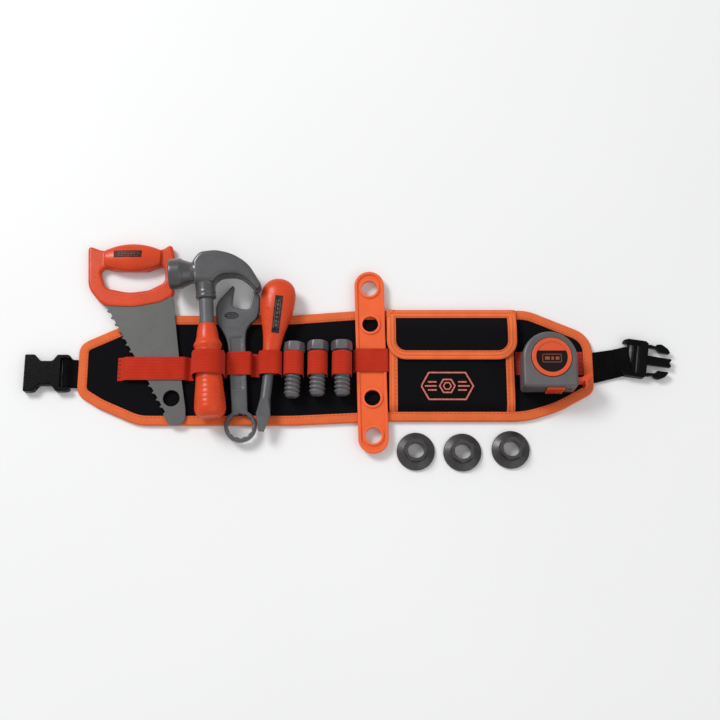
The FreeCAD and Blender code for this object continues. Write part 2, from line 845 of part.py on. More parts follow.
def hammer_head():
    socket = lathe_y(
        [
            (122.0, 9.4),
            (122.8, HAMMER_SOCKET_R),
            (125.4, HAMMER_SOCKET_R),
            (126.0, 9.6),
            (127.0, 9.6),
            (127.6, HAMMER_SOCKET_R),
            (130.0, 10.0),
            (HAMMER_HEAD_Y, 11.0),
        ]
    )
    poll = lathe_y(
        [
            (HAMMER_FACE_X, HAMMER_FACE_R - 1.6),
            (HAMMER_FACE_X + 1.6, HAMMER_FACE_R),
            (HAMMER_FACE_X + 12.6, HAMMER_FACE_R),
            (HAMMER_FACE_X + 15.0, HAMMER_FACE_R - 1.6),
            (HAMMER_FACE_X + 22.0, 11.4),
            (-4.0, 11.4),
        ]
    )
    poll.rotate(vector(0, 0, 0), vector(0, 0, 1), -90)
    poll.translate(vector(0, HAMMER_HEAD_Y, 0))
    side = [
        (-11.5, 139.0, 3.5),
        (-11.5, 161.0, 6.0),
        (-4.0, 170.0, 9.0),
        (12.0, 171.0, 30.0),
        (29.0, 166.5, 50.0),
        (45.0, 154.5, 38.0),
        (57.0, 132.0, 3.4),
        (52.5, 124.0, 3.4),
        (44.0, 135.6, 20.0),
        (34.0, 144.5, 20.0),
        (14.0, 144.5, 12.0),
        (9.0, 137.0, 3.4),
    ]
    claw = rounded_plate(side, -HAMMER_CLAW_HALF, HAMMER_CLAW_HALF)
    claw = eased(claw, 3.2, -HAMMER_CLAW_HALF, HAMMER_CLAW_HALF)
    notch = across_y([(24.0, -0.3, 0), (24.0, 0.3, 0), (66.0, 3.4, 0), (66.0, -3.4, 0)], 110, 175)
    head = claw.cut(notch).fuse([socket, poll]).removeSplitter()
    return in_hammer_frame(head.cut(hammer_shaft_solid()))


# ---- wrench ----


def wrench():
    """An open end turned 15 degrees and a twelve-point ring, in one piece."""
    outline = [
        (-8.0, 10.0, 0),
        (-8.9, 90.0, 40.0),
        (-18.5, 108.0, 20.0),
        (-20.5, 128.0, 20.0),
        (1.2, 150.0, 1.5),
        (-3.2, 124.5, 4.5),
        (14.4, 120.2, 4.5),
        (20.8, 144.0, 1.5),
        (26.5, 134.0, 6.0),
        (24.0, 112.0, 16.0),
        (10.5, 102.0, 18.0),
        (9.1, 86.0, 30.0),
        (8.0, 10.0, 0),
    ]
    body = eased(rounded_plate(outline, 0, WRENCH_THICK), 1.2, 0, WRENCH_THICK)
    ring = eased(disc((0, 0), WRENCH_RING_R, 0, WRENCH_THICK), 1.2, 0, WRENCH_THICK)
    body = body.fuse(ring).removeSplitter()
    for turn in (0, 30):
        body = body.cut(hexagon((0, 0), WRENCH_RING_AF, -1, WRENCH_THICK + 1, turn))
    recess = [(-5.2, 38.0, 2.0), (5.2, 38.0, 2.0), (6.0, 92.0, 2.0), (-6.0, 92.0, 2.0)]
    body = body.cut(rounded_plate(recess, WRENCH_THICK - WRENCH_RECESS, WRENCH_THICK + 1))
    return placed(body, WRENCH_AT, WRENCH_YAW)


# ---- screwdriver ----


def in_driver_frame(shape):
    return placed(shape, DRIVER_AT, DRIVER_YAW)


def driver_shaft_solid():
    """A round rod that flares towards the tip and is ground flat on both sides."""
    rod = lathe_y([(0, 2.8), (17.0, 7.4), (34.0, DRIVER_SHAFT_R), (DRIVER_TANG_Y, DRIVER_SHAFT_R)])
    full = DRIVER_SHAFT_R + 1
    root = DRIVER_TANG_Y + 1
    flats = across_x(
        [
            (-1, -1.1, 0),
            (14, -1.8, 6),
            (40, -full, 0),
            (root, -full, 0),
            (root, full, 0),
            (40, full, 0),
            (14, 1.8, 6),
            (-1, 1.1, 0),
        ],
        -10,
        10,
    )
    return rod.common(flats)


def screwdriver_shaft():
    return in_driver_frame(driver_shaft_solid())


def driver_handle_solid(swell=0.0):
    profile = [
        (DRIVER_NECK_Y, 7.9),
        (72.0, 8.4),
        (90.0, 9.3),
        (108.0, 12.6),
        (126.0, 17.0),
        (141.0, 17.8),
        (151.0, 15.4),
        (157.5, 9.0),
        (DRIVER_LENGTH, 3.0),
    ]
    return lofted_y([(y, radius + swell, radius * DRIVER_FLATTEN + swell) for y, radius in profile])


def driver_label_outline():
    return rounded_plate(label_corners(2.0, 119.5, 7.6, 38.0), 0, 30)


def screwdriver_handle():
    body = driver_handle_solid()
    for i in range(4):
        dimple = Part.makeSphere(1.3, vector(-8.6 + 0.5 * i, 136.0 - 12.0 * i, 11.6 - 1.55 * i))
        body = body.cut(dimple)
    return in_driver_frame(body.cut(driver_shaft_solid()))


def screwdriver_label():
    patch = driver_handle_solid(0.45).common(driver_label_outline()).cut(driver_handle_solid())
    return in_driver_frame(patch)


# ---- bolts, nuts and strip ----


def thread_points(y_from, y_to):
    """Rounded ridges, drawn as flats and slopes."""
    points = []
    turns = int((y_to - y_from) / THREAD_PITCH)
    for i in range(turns):
        y = y_from + i * THREAD_PITCH
        points += [
            (y, THREAD_ROOT),
            (y + THREAD_PITCH * 0.18, THREAD_ROOT),
            (y + THREAD_PITCH * 0.42, THREAD_R),
            (y + THREAD_PITCH * 0.72, THREAD_R),
            (y + THREAD_PITCH * 0.96, THREAD_ROOT),
        ]
    return points


def chamfered_round(half_flats, height, chamfer):
    """What a hexagon is cut by to chamfer the corners at its top."""
    low = height - chamfer
    cone = Part.makeCone(half_flats + chamfer, half_flats + 0.4, chamfer, vector(0, 0, low))
    return cone.fuse(disc((0, 0), 2 * half_flats, 0, low))


def bolt(number):
    """Head towards +Y; the frame's origin is the middle of the head's top."""
    x, y, yaw = BOLTS[number]
    head = hexagon((0, 0), BOLT_HEAD_AF, 0, BOLT_HEAD)
    head = head.common(chamfered_round(BOLT_HEAD_AF / 2, BOLT_HEAD, 3.0))
    head.rotate(vector(0, 0, 0), vector(1, 0, 0), -90)
    head.translate(vector(0, -BOLT_HEAD, 0))
    end = BOLT_LENGTH - BOLT_HEAD
    tip = [(0, THREAD_ROOT - 1.2), (1.5, THREAD_ROOT)]
    shank = lathe_y(tip + thread_points(1.6, end - 1) + [(end, THREAD_ROOT)])
    shank.translate(vector(0, -BOLT_LENGTH, 0))
    return placed(head.fuse(shank), (x, y, BOLT_Z), yaw)


def nut(number):
    x, y, turn = NUTS[number]
    flange = Part.Face(
        Part.makePolygon(
            [
                vector(0, 0),
                vector(NUT_FLANGE_R, 0),
                vector(NUT_FLANGE_R, 0, NUT_FLANGE_EDGE),
                vector(NUT_AF / 2 + 1.6, 0, NUT_SHOULDER),
                vector(0, 0, NUT_SHOULDER),
                vector(0, 0),
            ]
        )
    ).revolve(vector(0, 0, 0), vector(0, 0, 1), 360)
    flange = eased(flange, 1.0, NUT_FLANGE_EDGE)
    boss = hexagon((0, 0), NUT_AF, NUT_SHOULDER - 1, NUT_HEIGHT, turn)
    body = flange.fuse(boss.common(chamfered_round(NUT_AF / 2, NUT_HEIGHT, 2.6)))
    body = body.cut(disc((0, 0), BORE_R, -1, NUT_HEIGHT + 1))
    body.translate(vector(x, y, 0))
    return body


def strip_hole_centres():
    """Hole centres in the strip's own frame."""
    middle = (STRIP_HOLES - 1) / 2
    return [(0, (i - middle) * STRIP_PITCH) for i in range(STRIP_HOLES)]


def perforated_strip():
    half = STRIP_WIDTH / 2
    end = STRIP_LENGTH / 2
    outline = rounded_wire(
        [
            (-half, -end, half - 0.1),
            (half, -end, half - 0.1),
            (half, end, half - 0.1),
            (-half, end, half - 0.1),
        ]
    )
    body = eased(plate(outline, 0, STRIP_RIM), 0.9, 0, STRIP_RIM)
    body = body.cut(plate(outline.makeOffset2D(-STRIP_RIM_WIDTH), STRIP_WEB, STRIP_RIM + 1))
    centres = strip_hole_centres()
    body = body.fuse([disc(centre, BORE_R + STRIP_BOSS, 0, STRIP_RIM) for centre in centres])
    for centre in centres:
        body = body.cut(disc(centre, BORE_R, -1, STRIP_RIM + 1))
    return placed(body, (STRIP_AT[0], STRIP_AT[1], STRIP_BOTTOM), STRIP_YAW)


# ---- tape measure ----


def tape_outline(inset):
    x, y = TAPE_CENTRE
    half = TAPE_HALF - inset
    left = x - half
    right = x + half
    base = TAPE_BASE + inset
    top = y + half
    return rounded_wire(
        [
            (left, base, 3.0),
            (right, base, 3.0),
            (right, top, half - 0.05),
            (left, top, half - 0.05),
        ]
    )


def tape_mouth():
    y = REEL_CENTRE[1] - COIL_R
    x = TAPE_CENTRE[0] + TAPE_HALF
    z = (TAPE_SPLIT - TAPE_BLADE_WIDTH / 2 - 0.6, TAPE_SPLIT + TAPE_BLADE_WIDTH / 2 + 0.6)
    return box((x - 6, x + 5), (y - TAPE_BLADE - 1.2, y + 1.2), z)


def tape_case():
    """Both halves as one hollow body, before it is split."""
    body = plate(tape_outline(0), TAPE_BACK, TAPE_FRONT)
    body = eased(body, TAPE_ROUND, TAPE_FRONT)
    body = eased(body, 1.0, TAPE_BACK)
    body = body.cut(plate(tape_outline(TAPE_WALL), TAPE_BACK + TAPE_WALL, TAPE_FRONT - TAPE_WALL))
    body = body.cut(tape_mouth())
    slot_x = ((LOCK_X[0] + LOCK_X[1]) / 2 - 3.7, (LOCK_X[0] + LOCK_X[1]) / 2 + 3.7 + LOCK_TRAVEL)
    slot_z = (TAPE_SPLIT - 4.2, TAPE_SPLIT + 4.2)
    body = body.cut(box(slot_x, (TAPE_BASE - 1, TAPE_BASE + TAPE_WALL + 1), slot_z))
    lanyard = Part.makeCylinder(2.0, 1.4, vector(219.6, TAPE_BASE, TAPE_SPLIT), vector(0, 1, 0))
    return body.cut(lanyard)


def case_screw_centres():
    return [(179.0, -33.0), (220.0, -22.0), (181.5, 5.5)]


def tape_case_front():
    body = tape_case().common(box((150, 260), (-60, 40), (TAPE_SPLIT, TAPE_FRONT)))
    posts = [disc(c, 2.6, TAPE_SPLIT, TAPE_FRONT - TAPE_WALL) for c in case_screw_centres()]
    body = body.fuse(posts).removeSplitter()
    return body.cut(tape_screws())


def tape_case_back():
    body = tape_case().common(box((150, 260), (-60, 40), (TAPE_BACK, TAPE_SPLIT)))
    posts = [disc(c, 2.6, TAPE_BACK + 1, TAPE_SPLIT) for c in case_screw_centres()]
    posts.append(disc((199.5, 10.0), 2.6, TAPE_BACK + 1, TAPE_BACK + 7))
    body = body.fuse(posts).removeSplitter()
    return body.cut(tape_screws()).cut(tape_clip_screw())


def tape_screws():
    """Three case screws driven from the back."""
    screws = []
    for centre in case_screw_centres():
        shank = disc(centre, 1.2, TAPE_BACK + 0.6, TAPE_SPLIT + 7)
        head = disc(centre, 2.2, TAPE_BACK + 0.2, TAPE_BACK + 1.6)
        screws.append(shank.fuse(head).removeSplitter())
    return Part.makeCompound(screws)


def tape_clip_screw():
    centre = (199.5, 10.0)
    head = disc(centre, 2.2, CLIP_BOTTOM, CLIP_BOTTOM + 1.4)
    return head.fuse(disc(centre, 1.2, CLIP_BOTTOM + 0.6, TAPE_BACK + 6)).removeSplitter()


def tape_clip():
    """A leaf on the back; the elastic strap passes between it and the case."""
    (x_from, x_to), (y_from, y_to) = CLIP_X, CLIP_Y
    leaf = rounded_plate(
        [(x_from + 2, y_from, 6), (x_to - 2, y_from, 6), (x_to, y_to, 3), (x_from, y_to, 3)],
        CLIP_BOTTOM,
        CLIP_BOTTOM + CLIP,
    )
    bridge = rounded_plate(
        [(x_from, 6.0, 1), (x_to, 6.0, 1), (x_to, y_to, 3), (x_from, y_to, 3)],
        CLIP_BOTTOM,
        TAPE_BACK,
    )
    return leaf.fuse(bridge).removeSplitter().cut(tape_clip_screw())


def tape_ring():
    body = disc(RING_CENTRE, RING_R, TAPE_FRONT, RING_TOP)
    body = eased(body, 0.7, RING_TOP)
    return body.cut(disc(RING_CENTRE, RING_INNER, RING_DISH, RING_TOP + 1))


def tape_label():
    """The dark lower part of the dial."""
    x, y = RING_CENTRE
    sheet = disc(RING_CENTRE, RING_INNER - 0.1, RING_DISH, RING_DISH + 0.35)
    return sheet.common(box((x - 30, x + 30), (y - 30, y + 4.2), (0, 60)))


def tape_axle():
    x, y = REEL_CENTRE
    return disc((x, y), AXLE_R, TAPE_BACK + TAPE_WALL, TAPE_FRONT - TAPE_WALL)


def tape_reel():
    """Hub of the coil, with a flange each side and a spring well."""
    half = TAPE_BLADE_WIDTH / 2 + 0.2
    hub = disc(REEL_CENTRE, COIL_INNER, TAPE_SPLIT - half, TAPE_SPLIT + half)
    flanges = [
        disc(REEL_CENTRE, COIL_R + 1.5, TAPE_SPLIT + half, TAPE_SPLIT + half + 1.0),
        disc(REEL_CENTRE, COIL_R + 1.5, TAPE_SPLIT - half - 1.0, TAPE_SPLIT - half),
    ]
    body = hub.fuse(flanges).removeSplitter()
    body = body.cut(disc(REEL_CENTRE, AXLE_R + RUNNING, 0, 60))
    return body.cut(disc(REEL_CENTRE, HUB_INNER + 2.5, TAPE_SPLIT - half + 2, TAPE_SPLIT + half + 2))


def tape_spring():
    """The wound return spring in the hub's well."""
    half = TAPE_BLADE_WIDTH / 2 - 2.4
    coil = disc(REEL_CENTRE, HUB_INNER + 2.5, TAPE_SPLIT - half, TAPE_SPLIT + half)
    return coil.cut(disc(REEL_CENTRE, AXLE_R + RUNNING, 0, 60))


def tape_coil():
    """The wound part of the measuring tape."""
    half = TAPE_BLADE_WIDTH / 2
    wound = disc(REEL_CENTRE, COIL_R, TAPE_SPLIT - half, TAPE_SPLIT + half)
    return wound.cut(disc(REEL_CENTRE, COIL_INNER, 0, 60))


def tape_blade():
    """The straight run of tape from the coil to the hook."""
    top = REEL_CENTRE[1] - COIL_R - RUNNING
    half = TAPE_BLADE_WIDTH / 2
    return box((REEL_CENTRE[0] - 12, 227.6), (top - TAPE_BLADE, top), (TAPE_SPLIT - half, TAPE_SPLIT + half))


def tape_hook():
    """End tab: it grips the tape, rises to a pull, and has a lip below."""
    y = REEL_CENTRE[1] - COIL_R - RUNNING
    half = TAPE_BLADE_WIDTH / 2
    x = TAPE_CENTRE[0] + TAPE_HALF + 0.3
    outline = [
        (x, y - 2.2, 0.4),
        (x + 7.0, y - 2.2, 0.8),
        (x + 8.0, y - 7.4, 0.8),
        (x + 10.2, y - 7.2, 0.8),
        (x + 9.6, y - 1.6, 1.0),
        (x + 15.6, y + 4.0, 1.2),
        (x + 13.6, y + 7.0, 1.2),
        (x + 4.0, y + 1.4, 2.0),
        (x, y + 1.4, 0.4),
    ]
    body = rounded_plate(outline, TAPE_SPLIT - half, TAPE_SPLIT + half)
    return body.cut(tape_blade())


def tape_lock():
    """Ribbed thumb slide under the case, on a neck through the slot."""
    middle = (LOCK_X[0] + LOCK_X[1]) / 2
    low = TAPE_BASE - 2.6
    high = TAPE_BASE - 0.1
    cap = box(LOCK_X, (low, high), LOCK_Z)
    cap = cap.makeFillet(0.7, [e for e in cap.Edges if e.BoundBox.YMax < low + 0.01])
    for i in range(5):
        x = LOCK_X[0] + 2.9 + 2.8 * i
        cap = cap.cut(box((x - 0.6, x + 0.6), (low - 1, low + 0.9), (LOCK_Z[0] - 1, LOCK_Z[1] + 1)))
    neck_y = (high - 1, TAPE_BASE + TAPE_WALL + 0.3)
    neck = box((middle - 3.5, middle + 3.5), neck_y, (TAPE_SPLIT - 4, TAPE_SPLIT + 4))
    foot_y = (TAPE_BASE + TAPE_WALL + 0.1, TAPE_BASE + TAPE_WALL + 1.3)
    foot = box((middle - 5.5, middle + 5.5), foot_y, (TAPE_SPLIT - 6, TAPE_SPLIT + 6))
    return cap.fuse([neck, foot]).removeSplitter()


NODES = {
    "belt_panel": belt_panel,
    "panel_binding": panel_binding,
    "saw_elastic": saw_span,
    "hammer_elastic": hammer_loop,
    "wrench_elastic": wrench_loop,
    "screwdriver_elastic": driver_loop,
    "strip_elastic": strip_loop,
    "tape_elastic": tape_strap,
    "pocket_front": pocket_front,
    "pocket_binding": pocket_binding,
    "pocket_loop_patch": loop_patch,
    "flap_hook_patch": hook_patch,
    "pocket_flap": pocket_flap,
    "flap_binding": flap_binding,
    "left_webbing": left_webbing,
    "right_webbing": right_webbing,
    "socket_buckle": socket_buckle,
    "plug_buckle": plug_buckle,
    "saw_blade": saw_blade,
    "saw_handle": saw_handle,
    "saw_label": saw_label,
    "hammer_head": hammer_head,
    "hammer_shaft": hammer_shaft,
    "hammer_grip": hammer_grip,
    "wrench": wrench,
    "screwdriver_handle": screwdriver_handle,
    "screwdriver_shaft": screwdriver_shaft,
    "screwdriver_label": screwdriver_label,
    "perforated_strip": perforated_strip,
    "tape_case_front": tape_case_front,
    "tape_case_back": tape_case_back,
    "tape_screws": tape_screws,
    "tape_clip": tape_clip,
    "tape_clip_screw": tape_clip_screw,
    "tape_ring": tape_ring,
    "tape_label": tape_label,
    "tape_axle": tape_axle,
    "tape_reel": tape_reel,
    "tape_spring": tape_spring,
    "tape_coil": tape_coil,
    "tape_blade": tape_blade,
    "tape_hook": tape_hook,
    "tape_lock": tape_lock,
}


def build():
    """Every node's solid, by name."""
    shapes = {name: make() for name, make in NODES.items()}
    shapes["plug_arm_upper"] = plug_arm(1)
    shapes["plug_arm_lower"] = plug_arm(-1)
    for number in range(len(BOLTS)):
        shapes[f"bolt_{number + 1}"] = bolt(number)
        shapes[f"bolt_elastic_{number + 1}"] = bolt_loop(number)
    for number in range(len(NUTS)):
        shapes[f"nut_{number + 1}"] = nut(number)
    return shapes


os.makedirs("parts", exist_ok=True)
for name, shape in build().items():
    shape.exportStep(f"parts/{name}.step")
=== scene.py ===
import math

import bmesh
import bpy
import numpy as np
from mathutils import Matrix, Vector, kdtree, noise


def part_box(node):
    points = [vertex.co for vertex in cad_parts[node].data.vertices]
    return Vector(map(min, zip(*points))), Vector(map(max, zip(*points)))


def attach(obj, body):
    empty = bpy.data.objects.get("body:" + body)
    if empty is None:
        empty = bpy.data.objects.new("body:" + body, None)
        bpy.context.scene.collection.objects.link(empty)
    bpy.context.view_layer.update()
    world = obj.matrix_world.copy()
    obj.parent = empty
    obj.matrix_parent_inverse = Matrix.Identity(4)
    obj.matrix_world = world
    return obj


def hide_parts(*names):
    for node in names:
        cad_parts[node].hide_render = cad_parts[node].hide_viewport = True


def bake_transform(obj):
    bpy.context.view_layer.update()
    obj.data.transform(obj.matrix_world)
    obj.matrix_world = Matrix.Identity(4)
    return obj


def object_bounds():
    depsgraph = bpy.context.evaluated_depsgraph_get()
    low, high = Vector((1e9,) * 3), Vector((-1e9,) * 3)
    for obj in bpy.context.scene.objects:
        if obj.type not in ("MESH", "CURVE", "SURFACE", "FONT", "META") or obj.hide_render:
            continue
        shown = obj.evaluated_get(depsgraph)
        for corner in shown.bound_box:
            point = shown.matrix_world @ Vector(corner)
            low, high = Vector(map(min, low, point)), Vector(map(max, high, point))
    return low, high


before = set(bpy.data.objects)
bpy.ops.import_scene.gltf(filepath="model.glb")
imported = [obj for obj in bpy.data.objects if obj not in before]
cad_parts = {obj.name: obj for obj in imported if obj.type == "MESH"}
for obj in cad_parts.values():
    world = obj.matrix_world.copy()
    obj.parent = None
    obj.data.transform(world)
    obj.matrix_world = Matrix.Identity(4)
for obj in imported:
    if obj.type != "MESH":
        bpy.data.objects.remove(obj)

# The looks of a child's tool belt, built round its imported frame. Metres, in the frame's own axes:
# +X along the belt, +Y across it, +Z up.

CAD_LOW, CAD_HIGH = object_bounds()
MM = 0.001
UP = Vector((0, 0, 1))
ACROSS = Vector((0, 1, 0))

# Camera: high in front of the middle of the belt
CAMERA_ELEVATION = math.radians(75)
CAMERA_DISTANCE = 1.224
CAMERA_LENS = 60.0
CAMERA_AIM = Vector((0.0118, -0.0035, 0))

# Light: a soft box at the upper left, a weak one opposite, and the room
WORLD_LIGHT = 0.60
KEY_LIGHT = 60.0
FILL_LIGHT = 7.0

EDGE_ROUNDING = 0.5 * MM
WRENCH_MARK = Vector((-6.1, 49.5, 0)) * MM
BOX_FACES = [(0, 1, 2, 3), (4, 5, 6, 7), (0, 1, 5, 4), (1, 2, 6, 5), (2, 3, 7, 6), (3, 0, 4, 7)]

# Fabric
TAPE_WIDTH = 9.8 * MM
TAPE_WALL = 0.9 * MM
ELASTIC = 1.2 * MM
ELASTIC_WIDTH = 24.0 * MM
RIBS = 15
STITCH = 2.6 * MM
STITCH_GAP = 1.3 * MM
STITCH_WIDTH = 0.7 * MM
WEBBING = 1.5 * MM
WEBBING_WIDTH = 29.0 * MM


def linear(red, green, blue):
    """Display values from 0 to 255 as the linear colour that a shader takes."""
    shares = [c / 255 for c in (red, green, blue)]
    return tuple(c / 12.92 if c <= 0.04045 else ((c + 0.055) / 1.055) ** 2.4 for c in shares) + (1.0,)


BLACK_CLOTH = linear(6, 5, 8)
BINDING = linear(234, 110, 60)
ELASTIC_RED = linear(192, 45, 20)
STRAP_RED = linear(188, 48, 38)
WEBBING_BLACK = linear(7, 6, 8)
BUCKLE_BLACK = linear(4, 4, 5)
HANDLE_ORANGE = linear(200, 63, 24)
STRIP_ORANGE = linear(226, 91, 38)
DIAL_ORANGE = linear(205, 78, 36)
BLADE_GREY = linear(80, 80, 79)
HEAD_GREY = linear(72, 72, 74)
WRENCH_GREY = linear(84, 85, 87)
BOLT_GREY = linear(96, 93, 96)
NUT_GREY = linear(58, 55, 57)
CASE_GREY = linear(88, 85, 87)
STICKER = linear(24, 15, 15)
PRINT = linear(206, 112, 94)
THREAD_DARK = linear(128, 30, 18)
THREAD_ORANGE = linear(206, 80, 40)
STICKER_INK = linear(150, 66, 46)
DRIVER_INK = linear(110, 100, 98)
OVAL_DARK = linear(42, 40, 42)
STEEL = linear(176, 176, 178)
TAPE_YELLOW = linear(236, 196, 70)


# ---- geometry helpers ----


def length_of(points):
    return sum((b - a).length for a, b in zip(points, points[1:]))


def section(node, point, normal):
    """Closed outlines where a plane cuts a CAD node, the longest first."""
    cut = bmesh.new()
    cut.from_mesh(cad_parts[node].data)
    bmesh.ops.remove_doubles(cut, verts=cut.verts, dist=0.002 * MM)
    everything = cut.verts[:] + cut.edges[:] + cut.faces[:]
    made = bmesh.ops.bisect_plane(cut, geom=everything, plane_co=point, plane_no=normal)
    edges = {e for e in made["geom_cut"] if isinstance(e, bmesh.types.BMEdge)}
    loops = []
    while edges:
        start, here = edges.pop().verts
        loop = [start.co.copy()]
        while here is not start:
            loop.append(here.co.copy())
            onward = [e for e in here.link_edges if e in edges]
            if not onward:
                break
            edges.discard(onward[0])
            here = onward[0].other_vert(here)
        loops.append(loop)
    cut.free()
    return sorted(loops, key=length_of, reverse=True)


def resampled(points, step, closed=False):
    """Evenly spaced points along a line."""
    line = np.array([tuple(p) for p in points])
    if closed:
        line = np.vstack([line, line[:1]])
    reach = np.concatenate([[0], np.cumsum(np.linalg.norm(np.diff(line, axis=0), axis=1))])
    count = max(3, round(reach[-1] / step))
    places = np.linspace(0, reach[-1], count, endpoint=not closed)
    columns = [np.interp(places, reach, line[:, k]) for k in range(3)]
    return [Vector(p) for p in zip(*columns)]


def filleted(corners, step=0.8 * MM):
    """(point, radius) corners of an open line, as points with an arc at each inner corner."""
    points = [Vector(corners[0][0])]
    for (before, _), (here, radius), (after, _) in zip(corners, corners[1:], corners[2:]):
        here = Vector(here)
        back = (Vector(before) - here).normalized()
        on = (Vector(after) - here).normalized()
        half = back.angle(on) / 2
        if radius == 0 or half > math.radians(89):
            points.append(here)
            continue
        reach = radius / math.tan(half)
        centre = here + (back + on).normalized() * (radius / math.sin(half))
        start = here + back * reach - centre
        end = here + on * reach - centre
        turn = start.angle(end)
        pieces = max(2, math.ceil(turn * radius / step))
        for i in range(pieces + 1):
            share = i / pieces
            spoke = (start * math.sin((1 - share) * turn) + end * math.sin(share * turn)) / math.sin(turn)
            points.append(centre + spoke)
    points.append(Vector(corners[-1][0]))
    return points


def mesh_piece(name, vertices, faces, uvs=None):
    """A mesh object, with its sharp edges found by angle. uvs holds one pair for each face corner."""
    data = bpy.data.meshes.new(name)
    data.from_pydata([tuple(v) for v in vertices], [], faces)
    if uvs:
        layer = data.uv_layers.new(name="UVMap")
        layer.data.foreach_set("uv", np.array(uvs, np.float32).ravel())
    shaped = bmesh.new()
    shaped.from_mesh(data)
    bmesh.ops.recalc_face_normals(shaped, faces=shaped.faces)
    shaped.to_mesh(data)
    shaped.free()
    return smooth_piece(name, data)


def smooth_piece(name, data, sharp=38):
    data.shade_smooth()
    data.set_sharp_from_angle(angle=math.radians(sharp))
    piece = bpy.data.objects.new(name, data)
    bpy.context.scene.collection.objects.link(piece)
    return piece


def sweep(name, stations, profile, closed=False):
    """A closed profile of (across, up) points carried along (place, across, up) stations."""
    count = len(profile)
    round_trip = [0.0]
    for a, b in zip(profile, profile[1:] + profile[:1]):
        round_trip.append(round_trip[-1] + math.dist(a, b))
    along = [0.0]
    for a, b in zip(stations, stations[1:] + stations[:1]):
        along.append(along[-1] + (b[0] - a[0]).length)
    vertices = [place + across * a + up * u for place, across, up in stations for a, u in profile]
    faces = []
    uvs = []
    for i in range(len(stations) if closed else len(stations) - 1):
        following = (i + 1) % len(stations)
        for j in range(count):
            beside = (j + 1) % count
            faces.append((i * count + j, following * count + j, following * count + beside, i * count + beside))
            corners = [(i, j), (i + 1, j), (i + 1, j + 1), (i, j + 1)]
            uvs += [(along[a], round_trip[b]) for a, b in corners]
    if not closed:
        for start in (0, (len(stations) - 1) * count):
            faces.append(tuple(range(start, start + count)))
            uvs += [(along[start // count], round_trip[j]) for j in range(count)]
    return mesh_piece(name, vertices, faces, uvs)


def level_stations(points, closed=False):
    """Stations of a line that runs level: across points to its left, and up is +Z."""
    stations = []
    for i, here in enumerate(points):
        before = points[i - 1] if closed or i else here
        after = points[(i + 1) % len(points)] if closed or i + 1 < len(points) else here
        ahead = (after - before).normalized()
        stations.append((here, UP.cross(ahead).normalized(), UP))
    return stations


def upright_stations(points, across):
    """Stations of a line that climbs and falls: across is given, and up is square to the line."""
    stations = []
    for i, here in enumerate(points):
        before = points[max(i - 1, 0)]
        after = points[min(i + 1, len(points) - 1)]
        ahead = (after - before).normalized()
        stations.append((here, across, ahead.cross(across).normalized()))
    return stations


def strap_profile(width, thick, ribs, depth):
    """Section of a woven strap: a flat band with fine ribs on both faces."""
    steps = ribs * 4
    top = []
    for i in range(steps + 1):
        share = i / steps
        rib = depth * (0.5 - 0.5 * math.cos(2 * math.pi * ribs * share))
        edge = min(1.0, min(share, 1 - share) * steps / 2)
        top.append(((share - 0.5) * width, (thick / 2 - depth) * (0.6 + 0.4 * edge) + rib * edge))
    return top + [(a, -u) for a, u in reversed(top)]


def joined_shapes(name, shape, faces, places):
    """Many copies of one small shape as a single mesh."""
    vertices = []
    all_faces = []
    for place in places:
        start = len(vertices)
        vertices += [place @ v for v in shape]
        all_faces += [tuple(start + i for i in face) for face in faces]
    return mesh_piece(name, vertices, all_faces)


def stitch_shape():
    """One stitch of thread, a unit long in X: a fat middle, and ends that dive into the cloth."""
    rings = 6
    sides = 6
    vertices = []
    for i in range(rings):
        along = 2 * i / (rings - 1) - 1
        girth = 0.5 * math.sqrt(max(0.04, 1 - along * along))
        for j in range(sides):
            angle = 2 * math.pi * j / sides
            rise = 0.35 * (1 - along * along) - 0.1
            vertices.append(Vector((along / 2, girth * math.cos(angle), girth * math.sin(angle) + rise)))
    faces = []
    for i in range(rings - 1):
        for j in range(sides):
            beside = (j + 1) % sides
            faces.append((i * sides + j, i * sides + beside, (i + 1) * sides + beside, (i + 1) * sides + j))
    faces.append(tuple(range(sides)))
    faces.append(tuple(range((rings - 1) * sides, rings * sides)))
    return vertices, faces


def stitches(name, rows, body, slot, colour):
    """Rows of stitching. Each row is (points, up at each point)."""
    places = []
    for points, ups in rows:
        dense = resampled(points, STITCH + STITCH_GAP)
        for a, b in zip(dense, dense[1:]):
            middle = (a + b) / 2
            nearest = min(range(len(points)), key=lambda i: (points[i] - middle).length_squared)
            ahead = (b - a).normalized()
            up = (ups[nearest] - ahead * ahead.dot(ups[nearest])).normalized()
            turn = Matrix((ahead, up.cross(ahead), up)).transposed().to_4x4()
            size = Matrix.Diagonal((STITCH, STITCH_WIDTH, STITCH_WIDTH, 1))
            places.append(Matrix.Translation(middle) @ turn @ size)
    shape, faces = stitch_shape()
    piece = joined_shapes(name, shape, faces, places)
    return dressed(piece, body, slot, thread_material(f"{name}_thread", colour))


